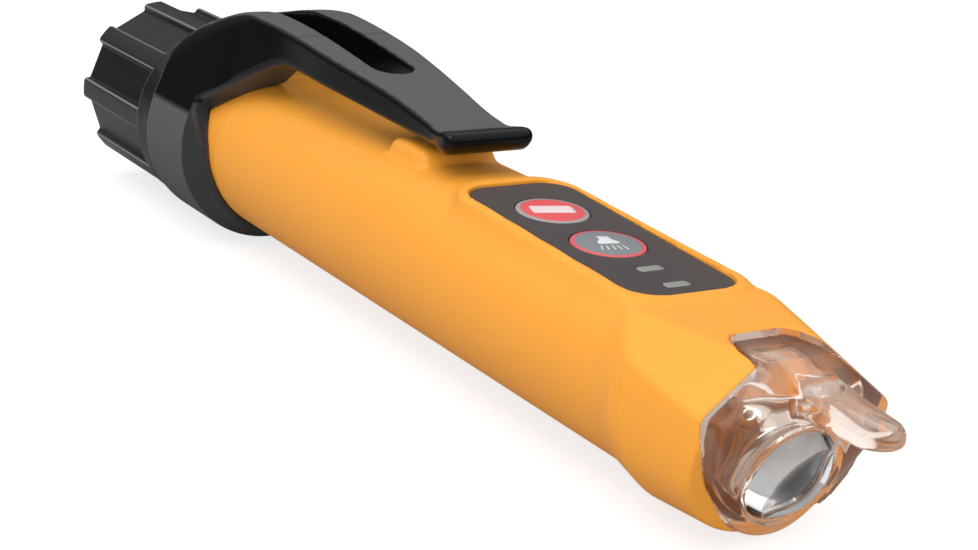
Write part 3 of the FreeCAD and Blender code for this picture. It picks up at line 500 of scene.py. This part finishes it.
def face_x(z, out=0.0):
    return 143.84 + TAN_L * (z + 4.31) + out


def rrect_sd(x, y, hx, hy, r):
    qx, qy = np.abs(x) - hx + r, np.abs(y) - hy + r
    return np.hypot(np.maximum(qx, 0), np.maximum(qy, 0)) + np.minimum(np.maximum(qx, qy), 0) - r


# ------------------------------------------------------------------- housing
TUBE = Curve([(6, 8.05), (18.0, 8.05), (18.05, 8.6), (20.6, 8.6), (20.65, 7.7), (22.3, 7.7), (22.35, 8.6),
              (24.55, 8.6), (24.65, 10.2), (40.9, 10.2), (41.2, 10.25), (127.3, 10.68), (132.9, 11.75),
              (143.0, 11.15), (146, 10.9)], step=0.05, width=0.05)
HEAD_W = Curve([(6, 14), (129.0, 14.0), (132.0, 11.9), (143.0, 10.35), (146, 9.9)], step=0.1, width=1.5)
TOPZ = Curve([(6, 20), (41.0, 20.0), (41.5, 10.2), (47.0, 9.4), (92.0, 9.4), (94.0, panel_z(94.0) - 0.02),
              (146.0, panel_z(146.0) - 0.02)], step=0.1, width=1.2)


def tab_sd(x, y, grow=0.0):
    """Plan of the clear window that runs back into the top of the head."""
    w = np.interp(x, [136.0, 136.8, 138.2, 140.3, 143.6, 146], [2.2, 2.95, 3.95, 4.6, 4.7, 4.75])
    return smax(np.abs(y - 0.25) - (w + grow), (136.85 - grow) - x, 0.8)


def head_facet(x, y, z):
    """Two flats that slope from the panel plane down to the cheeks of the head."""
    return 0.208 * x + 0.590 * np.abs(y) + 0.779 * z - 37.4


def housing(x, y, z):
    r = np.hypot(y, z)
    body = (r - TUBE(x)) * TUBE.cos(x)
    body = smax(body, np.abs(y) - HEAD_W(x), 1.6)
    body = smax(body, (z - TOPZ(x)) * COS_P, np.interp(x, [117.0, 127.0], [1.3, 0.45]))
    body = smax(body, head_facet(x, y, z), 0.4)
    # raised island that carries the label
    isl = rrect_sd(x - 110.9, y, 17.75, 7.4, 4.3)
    isl = smax(isl, (z - (panel_z(x) + 0.16)) * COS_P, 0.75)
    isl = np.maximum(isl, 3.0 - z)
    body = smin(body, isl, 1.6)
    # sunk seat for the label
    lab = rrect_sd(x - 111.2, y, 16.82, 6.5, 3.45)
    lab = np.maximum(lab, (panel_z(x) - 0.30 - z) * COS_P)
    body = smax(body, -lab, 0.18)
    # open holes for the two keys and the two light windows
    for kx in (103.0, 113.3):
        a = (x - kx) * 0.99837 - (z - panel_z(kx)) * 0.05704
        h = (x - kx) * 0.05704 + (z - panel_z(kx)) * 0.99837
        body = np.maximum(body, -np.maximum(np.hypot(a, y) - 4.05, -6.6 - h))
    for wx in (120.5, 124.9):
        a = (x - wx) * 0.99837 - (z - panel_z(wx)) * 0.05704
        h = (x - wx) * 0.05704 + (z - panel_z(wx)) * 0.99837
        body = np.maximum(body, -np.maximum(rrect_sd(a, y, 0.78, 1.6, 0.5), -4.6 - h))
    # bump under the clip tip
    u = (x - 79.8) / 3.6
    bump = smax((z - (10.95 - 0.02 * (x - 79.8) ** 2)) * 0.98, np.abs(x - 80.2) - 4.2, 1.6)
    bump = smax(bump, np.abs(y) - 4.9, 1.3)
    bump = np.maximum(bump, 7.0 - z)
    body = smin(body, bump, 0.7)
    # front opening, sloping front and window notch
    dm = smax(r - 9.2, z - 5.0, 0.6)
    dm = np.maximum(dm, 128.6 - x)
    dm = smax(dm, (0.59 * np.abs(y) + 0.779 * z - 6.8) / 0.977, 0.6)
    body = smax(body, -dm, 0.25)
    body = smax(body, x - 143.0, 0.25)
    body = smax(body, (x - face_x(z, -1.75)) * COS_L, 0.25)
    notch = np.maximum(tab_sd(x, y, 0.06), 4.0 - z)
    body = smax(body, -notch, 0.25)
    # neck bore
    body = np.maximum(body, -(np.maximum(r - 6.95, x - 28.0)))
    body = np.maximum(body, 8.0 - x)
    return body


field_piece("housing_shell", housing, (7.4, -13.0, -13.0), (144.0, 13.0, 12.2), 0.30, M_ORANGE,
            nodes=("main_housing",))


# ----------------------------------------------------------------------- clip
CLIP_TOP = Curve([(22, 11.9), (25.1, 13.6), (27, 14.5), (31.1, 15.9), (37, 17.5), (42, 18.38), (48, 18.48),
                  (55.5, 18.05), (66, 16.95), (76, 15.65), (84.0, 14.25), (86.6, 13.92), (88.8, 14.28), (92, 14.5)],
                 spline=True)
CLIP_LOW = Curve([(22, -14), (30.0, -2.0), (34.0, 4.6), (36.0, 6.0), (40.3, 8.3), (44.2, 10.25), (46, 11.1), (50.7, 13.3),
                  (53, 13.9), (55.5, 14.05), (60, 13.85), (66, 13.4), (76, 12.55), (84, 11.75), (88.4, 11.55),
                  (89.6, 11.9), (90.8, 12.8), (92, 14.0)], step=0.1, width=1.0)
# half-width at the crown, and how far the flanks lean in per millimetre of height
CLIP_W = Curve([(22, 9.3), (25.1, 8.35), (27, 8.0), (31.1, 7.46), (37, 6.85), (42, 6.72), (45, 6.75), (50, 6.6), (55.6, 6.5),
                (62.8, 6.28), (69, 5.7), (75, 5.05), (80, 4.66), (84.5, 4.62), (86.5, 4.85), (88, 5.25), (89.4, 5.45),
                (92, 5.5)], spline=True)
LEAN = Curve([(22, 0.384), (38, 0.384), (42, 0.28), (46, 0.25), (50, 0.24), (54, 0.18), (58, 0.13), (92, 0.10)], width=2.0)
RING = Curve([(22, 12.68), (36.6, 12.68), (36.9, 12.62), (41.2, 10.72), (44, 9.4)], step=0.05, width=0.35)


def clip(x, y, z):
    r = np.hypot(y, z)
    ay = np.abs(y)
    ring = (r - RING(x)) * RING.cos(x)
    ring = smax(ring, 25.1 - x, 0.35)
    ring = smax(ring, x - 41.15, 0.3)
    ring = smax(ring, (x - np.interp(z, [-14.0, -5.0, 0.9, 3.3, 4.95, 7.0], [41.2, 41.15, 39.8, 38.4, 37.3, 36.4])) * 0.88, 0.5)
    ring = smax(ring, (z - 12.4), 0.4)
    lean = LEAN(x)
    half = CLIP_W(x) + lean * (CLIP_TOP(x) - z)
    side = (ay - half) * CLIP_W.cos(x) / np.sqrt(1.0 + lean * lean)
    top = (z - CLIP_TOP(x)) * CLIP_TOP.cos(x)
    soft = np.interp(x, [25.0, 30.0, 38.0, 45.0], [5.5, 4.6, 2.4, 0.7])
    hook = smax(top, side, soft)
    hook = smax(hook, 25.1 - x, 0.35)
    hook = np.maximum(hook, 4.56 - z)
    hook = smax(hook, x - 90.75, 1.6)
    # underside of hook and arm; near the ring it dips towards the tube
    dip = np.interp(x, [36.0, 38.6, 42.0, 45.0, 49.0], [0.8, 0.75, 0.3, 0.12, 0.0])
    edge = np.interp(x, [36.0, 39.5, 43.0, 46.0, 50.0, 53.5], [11.3, 10.2, 9.4, 8.9, 8.3, 7.9])
    low = (CLIP_LOW(x) - dip * np.maximum(edge - ay, 0.0) - z) * CLIP_LOW.cos(x)
    over = smax(hook, low, np.interp(x, [40.0, 44.0, 54.0, 60.0], [0.7, 1.1, 1.1, 0.7]))
    # small bevel all round the underside of the tip
    bev = (side + low) * 0.7071 + np.interp(x, [76.0, 86.0], [0.15, 0.62])
    over = smax(over, bev, 0.3)
    body = smin(ring, over, 0.25)
    # open slot of the fork
    slot = np.hypot(np.maximum(np.abs(x - 52.0) - 15.5, 0), y) - 2.5
    slot = np.where(z > 9.0, slot, 5.0)
    body = smax(body, -slot, 0.45)
    body = smax(body, 10.3 - r, 0.2)
    return body


o_clip, P, N = field_piece("pocket_clip", clip, (24.6, -13.2, -13.2), (91.2, 13.2, 19.0), 0.28, M_CLIP, body=None,
                           nodes=("clip_collar", "clip_arm"), custom=True,
                           clamp=((25.1, -12.64, -12.67), (90.8, 12.64, 18.5)))
nz = N[:, 2]
x, y, z = P.T
topz = np.interp(x, CLIP_TOP.x, CLIP_TOP.y)
matte = np.clip((nz - 0.80) / 0.12, 0, 1) * np.clip((z - (topz - 0.9)) / 0.4, 0, 1)
matte = matte * np.clip((88.2 - x) / 0.5, 0, 1) * (x > 30.0)
ringband = (np.hypot(y, z) > 12.3) & (x < 36.9) & (x > 25.0) & (z < 5.4) & (np.abs(N[:, 0]) < 0.3)
matte = np.maximum(matte, np.where(ringband, np.clip((5.0 - z) / 0.7, 0, 1), 0))
lowz = np.interp(x, CLIP_LOW.x, CLIP_LOW.y)
front = (x >= 36.75) & (x < 41.3) & (np.hypot(y, z) > 10.6) & (z < lowz - 0.4)
matte = np.where(front, 0.32, matte)
arch = np.clip((lowz + 0.55 - z) / 0.6, 0, 1) * np.clip((x - 37.3) / 0.8, 0, 1) * np.clip((54.0 - x) / 4.0, 0, 1) * (np.abs(y) > 2.9)
matte = np.where(front, matte, np.maximum(matte, 0.55 * arch))
seam = np.clip(1.0 - np.abs(x - 55.5) / 0.16, 0, 1) * (z > 12.0)
for nm, arr in (("matte", matte), ("seam", seam)):
    a = o_clip.data.attributes.new(nm, "FLOAT", "POINT")
    a.data.foreach_set("value", arr.astype(np.float32))
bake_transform(o_clip)


# ------------------------------------------------------------------------ cap
def cap(x, y, z):
    r = np.hypot(y, z)
    th = np.arctan2(z, y)
    rel = (th - math.radians(179.0)) % math.radians(40.0)
    rel = np.minimum(rel, math.radians(40.0) - rel)          # angle from the nearest rib centre
    mid = math.radians(20.0) - rel
    panel = r * np.cos(mid) - 10.98                           # flat facet between ribs
    panel = np.maximum(panel, r - 11.35)
    s = r * np.sin(rel)
    rib = smax(r - 12.2, s - 1.45, 0.5)
    rib = np.maximum(rib, 0.0 + (8.0 - r))
    rib = smax(rib, x - 22.0, 0.1)
    rib = smax(rib, 0.15 - x, 0.9)
    core = smax(panel, x - 22.0, 0.1)
    core = smax(core, 0.0 - x, 0.8)
    out = smin(core, rib, 0.22)
    band = smax(r - 12.2, 20.45 - x, 0.35)
    out = smin(out, band, 0.2)
    out = smax(out, x - 24.4, 0.3)
    bore = np.maximum(r - 8.75, np.maximum(2.6 - x, x - 18.5))
    seal = np.maximum(r - 9.25, np.maximum(18.3 - x, x - 26.0))
    out = np.maximum(out, -bore)
    out = smax(out, -seal, 0.15)
    return out


field_piece("cap_shell", cap, (-0.6, -12.6, -12.6), (25.0, 12.6, 12.6), 0.19, M_CAP, body="cap",
            nodes=("battery_cap",), clamp=((0.0, -12.2, -12.2), (24.4, 12.2, 12.2)))



# ----------------------------------------------------------------------- nose
NOSE_R = Curve([(128, 9.1), (143.0, 9.1), (144, 9.1), (160, 9.1)], step=0.1, width=0.2)
BAND_R = Curve([(137, 11.4), (141.0, 11.2), (143.0, 11.05), (145.0, 10.7), (147.0, 10.0), (150.0, 8.6), (154, 6.5)],
               step=0.1, width=1.0)
BAND_W = Curve([(137, 11.2), (141.0, 10.65), (143.0, 10.3), (145.0, 9.7), (147.0, 8.9), (150.0, 7.4), (154, 5.6)],
               step=0.1, width=1.0)
T_SLOPE = (7.05 - 4.95) / (149.5 - 138.6)


def tongue_top(x):
    return np.where(x < 149.5, 4.95 + (149.5 - x) * T_SLOPE, 4.95 - (x - 149.5) * (0.8 / 7.0))


def nose_outer(x, y, z):
    r = np.hypot(y, z)
    band = smax((r - BAND_R(x)), np.abs(y) - BAND_W(x), 1.5)
    band = smax(band, (z - (panel_z(x) - 0.02)) * COS_P, 1.2)
    band = smax(band, head_facet(x, y, z), 0.4)
    band = smax(band, (0.31 * x + 0.785 * np.abs(y) - 0.62 * z - 53.3) / 1.047, 2.0)
    face = (x - face_x(z, 0.55)) * COS_L
    top = (x - 145.9) * 0.92 + (z - 4.6) * 0.62
    face = smax(face, top, 1.6)
    band = smax(band, face, 1.5)
    rear = np.maximum(143.05 - x, (face_x(z, -1.70) - x) * COS_L)
    rear = np.where(z < -1.0, (face_x(z, -1.70) - x) * COS_L, 143.05 - x)
    band = smax(band, rear, 0.12)
    spig = smax(r - 9.1, z - 4.9, 0.5)
    spig = smax(spig, (0.59 * np.abs(y) + 0.779 * z - 6.7) / 0.977, 0.6)
    spig = np.maximum(spig, np.maximum(131.0 - x, x - 143.6))
    tab = np.maximum(tab_sd(x, y, 0.0), np.maximum(3.5 - z, x - 143.6))
    tab = smax(tab, (z - (panel_z(x) - 0.02)) * COS_P, 0.2)
    tab = smax(tab, head_facet(x, y, z), 0.3)
    out = np.minimum(np.minimum(band, spig), tab)
    # sensing tongue
    tip = np.hypot(np.maximum(x - 153.9, 0), y) - 2.55
    tng = smax(tip, (z - tongue_top(x)), 0.9)
    bot = 2.62 + np.maximum(149.5 - x, 0) * 0.05
    tng = smax(tng, bot - z, 0.6)
    tng = np.maximum(tng, 141.0 - x)
    return smin(out, tng, 0.7)


def lens_local(x, y, z):
    dx, dz = x - 143.84, z + 4.31
    ct, st = COS_L, math.sin(math.radians(15.7))
    u = dx * ct - dz * st          # along the lens axis
    w = dx * st + dz * ct
    return u, y, w


def nose(x, y, z):
    out = nose_outer(x, y, z)
    r = np.hypot(y, z)
    # hollow inside, about 1.5 thick walls
    cav = smax(r - 7.7, z - 3.3, 0.8)
    cav = smax(cav, np.abs(y) - 6.9, 0.8)
    cav = smax(cav, (x - face_x(z, -1.0)) * COS_L, 0.8)
    cav = smax(cav, x - 144.2, 0.8)
    cav = np.maximum(cav, 130.0 - x)
    out = smax(out, -cav, 0.3)
    u, v, w = lens_local(x, y, z)
    rl = np.hypot(v, w)
    out = smax(out, 5.06 - rl, 0.25)
    dish = rl - (5.3 + np.maximum(u - 0.0, 0) * 0.35)
    out = np.where(u > -0.6, smax(out, -np.maximum(dish, -0.05 - u), 0.2), out)
    return out


field_piece("nose_clear_cover", nose, (130.6, -11.4, -11.8), (157.0, 11.4, 8.0), 0.22, M_CLEAR,
            nodes=("nose_cover",), clamp=((131.0, -11.4, -11.6), (156.5, 11.4, 9.0)))


# ----------------------------------------------------- lens and its bezel ring
def lens_matrix(shift=0.0):
    t = math.radians(15.7)
    return (Matrix.Translation(Vector((143.84 + shift * math.cos(t), 0, -4.31 - shift * math.sin(t))) * MM)
            @ Matrix.Rotation(t, 4, "Y"))


def turned(name, profile, mat, place, body="tester", nodes=(), segs=96, closed=False):
    """Profile of (x, r) turned about X, then placed."""
    vs, fs = [], []
    rings = []
    for (px, pr) in profile:
        if pr < 1e-6:
            rings.append([len(vs)])
            vs.append((px, 0, 0))
        else:
            ring = []
            for k in range(segs):
                a = 2 * math.pi * k / segs
                ring.append(len(vs))
                vs.append((px, pr * math.cos(a), pr * math.sin(a)))
            rings.append(ring)
    pairs = list(zip(rings[:-1], rings[1:]))
    if closed:
        pairs.append((rings[-1], rings[0]))
    for A, B in pairs:
        for k in range(segs):
            k2 = (k + 1) % segs
            if len(A) == 1 and len(B) == 1:
                continue
            if len(A) == 1:
                fs.append((A[0], B[k2], B[k]))
            elif len(B) == 1:
                fs.append((A[k], A[k2], B[0]))
            else:
                fs.append((A[k], A[k2], B[k2], B[k]))
    me = bpy.data.meshes.new(name)
    me.from_pydata([tuple(c * MM for c in v) for v in vs], [], fs)
    bm = bmesh.new()
    bm.from_mesh(me)
    bmesh.ops.recalc_face_normals(bm, faces=bm.faces)
    bm.to_mesh(me)
    bm.free()
    me.shade_smooth()
    o = bpy.data.objects.new(name, me)
    bpy.context.scene.collection.objects.link(o)
    me.materials.append(mat)
    o.matrix_world = place
    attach(o, body)
    if nodes:
        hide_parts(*nodes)
    return o


Rd = (25.0 + 2.3 ** 2) / 4.6
prof = [(-1.7, 0), (-1.7, 4.9), (-1.6, 5.0), (-0.1, 5.0)]
for k in range(0, 19):
    a = math.asin(4.97 / Rd) * (1 - k / 18)
    prof.append((2.3 - Rd + Rd * math.cos(a), Rd * math.sin(a) if k < 18 else 0.0))
turned("lens_dome", prof, M_LENS, lens_matrix(), nodes=("flashlight_lens",))
prof = [(-1.75, 4.95)]
for k in range(0, 13):
    t = k / 12
    prof.append((-1.85 - 4.9 * t, 4.75 - 3.3 * t ** 1.4))
prof += [(-6.9, 1.45), (-6.9, 3.1), (-3.4, 4.98)]
turned("reflector_bowl", prof, M_CHROME, lens_matrix(), nodes=("lens_reflector",), closed=True)

# ------------------------------------------------------------- key panel parts
PANEL = Matrix.Translation(Vector((111.2, 0, panel_z(111.2))) * MM) @ Matrix.Rotation(math.radians(3.27), 4, "Y")


def outline_rrect(hx, hy, r, n=10):
    pts = []
    for cx, cy, a0 in ((hx - r, hy - r, 0), (-hx + r, hy - r, 90), (-hx + r, -hy + r, 180), (hx - r, -hy + r, 270)):
        for k in range(n + 1):
            a = math.radians(a0 + 90 * k / n)
            pts.append((cx + r * math.cos(a), cy + r * math.sin(a)))
    return pts


def plate(name, outline, holes, z0, z1, mat, place, body="tester", nodes=(), bevel=0.06):
    """Flat plate with holes, from z0 to z1 in its own frame."""
    bm = bmesh.new()
    edges = []
    for loop in [outline] + list(holes):
        vs = [bm.verts.new((p[0] * MM, p[1] * MM, z0 * MM)) for p in loop]
        edges += [bm.edges.new((vs[i], vs[(i + 1) % len(vs)])) for i in range(len(vs))]
    bmesh.ops.triangle_fill(bm, use_beauty=True, edges=edges)
    faces = list(bm.faces)
    res = bmesh.ops.extrude_face_region(bm, geom=faces)
    up = [g for g in res["geom"] if isinstance(g, bmesh.types.BMVert)]
    bmesh.ops.translate(bm, verts=up, vec=(0, 0, (z1 - z0) * MM))
    bmesh.ops.recalc_face_normals(bm, faces=bm.faces)
    me = bpy.data.meshes.new(name)
    bm.to_mesh(me)
    bm.free()
    o = bpy.data.objects.new(name, me)
    bpy.context.scene.collection.objects.link(o)
    me.materials.append(mat)
    if bevel:
        b = o.modifiers.new("bevel", "BEVEL")
        b.width = bevel * MM
        b.segments = 2
        b.limit_method = "ANGLE"
        b.angle_limit = math.radians(50)
    me.shade_smooth()
    ws = o.modifiers.new("wn", "WEIGHTED_NORMAL")
    ws.keep_sharp = True
    o.matrix_world = place
    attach(o, body)
    if nodes:
        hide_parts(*nodes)
    return o


def circle(cx, cy, r, n=64):
    return [(cx + r * math.cos(2 * math.pi * k / n), cy + r * math.sin(2 * math.pi * k / n)) for k in range(n)]


def shifted(pts, cx, cy):
    return [(x + cx, y + cy) for x, y in pts]


def along(x):
    """Position along the panel's own X for a station x."""
    return (x - 111.2) / COS_P


K1, K2 = along(103.0), along(113.3)
W1, W2 = along(120.5), along(124.9)
plate("panel_film", outline_rrect(16.7, 6.4, 3.4),
      [circle(K1, 0, 4.02), circle(K2, 0, 4.02),
       shifted(outline_rrect(0.68, 1.5, 0.5, 6), W1, 0), shifted(outline_rrect(0.68, 1.5, 0.5, 6), W2, 0)],
      -0.42, 0.03, M_LABEL, PANEL, nodes=("panel_label",), bevel=0.05)

for tag, kx, node_name, body, mat, ring in (
        ("ncv", K1, "ncv_key", "ncv_key", M_RED, M_GREY_RING),
        ("flashlight", K2, "flashlight_key", "flashlight_key", M_GREY, M_RED_RING)):
    prof = [(-1.1, 0.0), (-1.1, 3.88), (-0.12, 3.9), (-0.03, 3.87), (0.02, 3.80), (0.03, 3.46), (0.05, 3.40)]
    for k in range(1, 9):
        rr = 3.40 * (1 - k / 8)
        prof.append((0.05 + 0.10 * (1 - (rr / 3.4) ** 2), rr))
    place = PANEL @ Matrix.Translation((kx * MM, 0, 0)) @ Matrix.Rotation(math.radians(-90), 4, "Y")
    o = turned(tag + "_key_cap", prof, mat, place, body=body, nodes=(node_name,))
    o.data.materials.append(ring)
    for p in o.data.polygons:
        c = p.center / MM
        rr = math.hypot(c.y, c.z)
        if rr > 3.42:
            p.material_index = 1

place1 = PANEL @ Matrix.Translation((K1 * MM, 0, 0.145 * MM))
place2 = PANEL @ Matrix.Translation((K2 * MM, 0, 0.145 * MM))
badge = plate("ncv_key_badge", outline_rrect(1.05, 2.35, 0.35, 5), [], -0.06, 0.02, M_BADGE,
              place1 @ Matrix.Rotation(math.radians(-14), 4, "Z"), body="ncv_key", bevel=0)
# flashlight pictogram: a plain lamp head with rays
lamp = [(-1.75, -0.62), (-0.95, -0.62), (-0.15, -1.15), (0.35, -1.15), (0.35, 1.15), (-0.15, 1.15), (-0.95, 0.62),
        (-1.75, 0.62)]
plate("flashlight_key_lamp", lamp, [], -0.08, 0.015, M_INK,
      place2 @ Matrix.Rotation(math.radians(-12), 4, "Z"), body="flashlight_key", bevel=0)
for i in range(5):
    yy = -1.1 + 0.55 * i
    a = (i - 2) * 0.16
    ray = [(0.75, yy - 0.07), (1.95, yy + a * 0.9 - 0.07), (1.95, yy + a * 0.9 + 0.07), (0.75, yy + 0.07)]
    plate("flashlight_key_ray_%d" % i, ray, [], -0.10, 0.0, M_INK,
          place2 @ Matrix.Rotation(math.radians(-12), 4, "Z"), body="flashlight_key", bevel=0)

for tag, wx in (("one", W1), ("two", W2)):
    plate("window_" + tag, shifted(outline_rrect(0.62, 1.44, 0.45, 6), wx, 0), [], -1.6, 0.02, M_WINDOW, PANEL,
          nodes=("light_pipes",), bevel=0.06)

# ------------------------------------------------------------------- staging
fl = bpy.data.meshes.new("floor")
fl.from_pydata([(-3, -3, -0.01272), (3, -3, -0.01272), (3, 3, -0.01272), (-3, 3, -0.01272)], [], [(0, 1, 2, 3)])
floor = bpy.data.objects.new("floor", fl)
bpy.context.scene.collection.objects.link(floor)
mf, nt, bsdf = material("floor_white")
lp = nt.nodes.new("ShaderNodeLightPath")
nt.links.new(mix_color(nt, lp.outputs["Is Camera Ray"], (0.48, 0.48, 0.48), (0.40, 0.40, 0.40)), bsdf.inputs["Base Color"])
bsdf.inputs["Roughness"].default_value = 0.95
bsdf.inputs["Specular IOR Level"].default_value = 0.0
bsdf.inputs["Emission Color"].default_value = (1, 1, 1, 1)
nt.links.new(math_node(nt, "MULTIPLY", lp.outputs["Is Camera Ray"], 0.74), bsdf.inputs["Emission Strength"])
fl.materials.append(mf)

# even white studio; what the polished parts mirror is a bright ceiling over darker walls
world = bpy.data.worlds.new("studio")
bpy.context.scene.world = world
world.use_nodes = True
nt = world.node_tree
bg = nt.nodes["Background"]
tc = nt.nodes.new("ShaderNodeTexCoord")
sep = nt.nodes.new("ShaderNodeSeparateXYZ")
nt.links.new(tc.outputs["Generated"], sep.inputs[0])
lp = nt.nodes.new("ShaderNodeLightPath")
ramp = node(nt, "ShaderNodeMapRange", interpolation_type="SMOOTHSTEP")
ramp.inputs["From Min"].default_value = 0.15
ramp.inputs["From Max"].default_value = 0.75
ramp.inputs["To Min"].default_value = 0.06
ramp.inputs["To Max"].default_value = 0.95
lean = math_node(nt, "MULTIPLY_ADD", sep.outputs["Y"], -0.12)
nt.links.new(sep.outputs["Z"], lean.node.inputs[2])
nt.links.new(lean, ramp.inputs["Value"])
strength = mix_value(nt, lp.outputs["Is Glossy Ray"], 0.74, ramp.outputs["Result"])
ramp2 = node(nt, "ShaderNodeMapRange", interpolation_type="SMOOTHSTEP")
ramp2.inputs["From Min"].default_value = -0.20
ramp2.inputs["From Max"].default_value = 0.40
ramp2.inputs["To Min"].default_value = 0.02
ramp2.inputs["To Max"].default_value = 1.25
half = math_node(nt, "MULTIPLY", sep.outputs["Z"], 0.5)
lean2 = math_node(nt, "MULTIPLY_ADD", sep.outputs["Y"], 0.8)
nt.links.new(half, lean2.node.inputs[2])
nt.links.new(lean2, ramp2.inputs["Value"])
strength = mix_value(nt, lp.outputs["Is Transmission Ray"], strength, ramp2.outputs["Result"])
strength = mix_value(nt, lp.outputs["Is Camera Ray"], strength, 1.0)
bg.inputs["Color"].default_value = (1, 1, 1, 1)
nt.links.new(strength, bg.inputs["Strength"])


def area(name, loc, target, size, power, size_y=None):
    d = bpy.data.lights.new(name, "AREA")
    d.energy = power
    d.shape = "RECTANGLE"
    d.size = size
    d.size_y = size_y or size
    o = bpy.data.objects.new(name, d)
    o.location = loc
    o.rotation_euler = (Vector(target) - Vector(loc)).to_track_quat("-Z", "Y").to_euler()
    bpy.context.scene.collection.objects.link(o)
    return o


area("key", (0.15, -0.25, 0.55), (0.08, 0, 0), 0.45, 1.5)
fill = area("fill", (0.50, -0.45, 0.20), (0.08, 0, 0), 0.35, 1.05)
fill.visible_glossy = False
fill.visible_transmission = False

cam_data = bpy.data.cameras.new("camera")
cam = bpy.data.objects.new("camera", cam_data)
bpy.context.scene.collection.objects.link(cam)
R = Matrix(((0.5189, 0.8519, 0.0705), (-0.2890, 0.0972, 0.9524), (0.8045, -0.5146, 0.2967))).transposed()
cam.matrix_world = Matrix.Translation(Vector((271.69, -115.06, 64.98)) * MM) @ R.to_quaternion().to_matrix().to_4x4()
cam_data.sensor_width = 36.0
cam_data.lens = 2045.8 * 36.0 / 978.0
cam_data.shift_x = -(489.28 - 489.0) / 978.0
cam_data.shift_y = (274.75 - 275.0) / 978.0
cam_data.clip_start = 0.01
cam_data.clip_end = 20
bpy.context.scene.camera = cam
bpy.context.scene.view_settings.view_transform = "Standard"
bpy.context.scene.cycles.max_bounces = 16
bpy.context.scene.cycles.transmission_bounces = 14
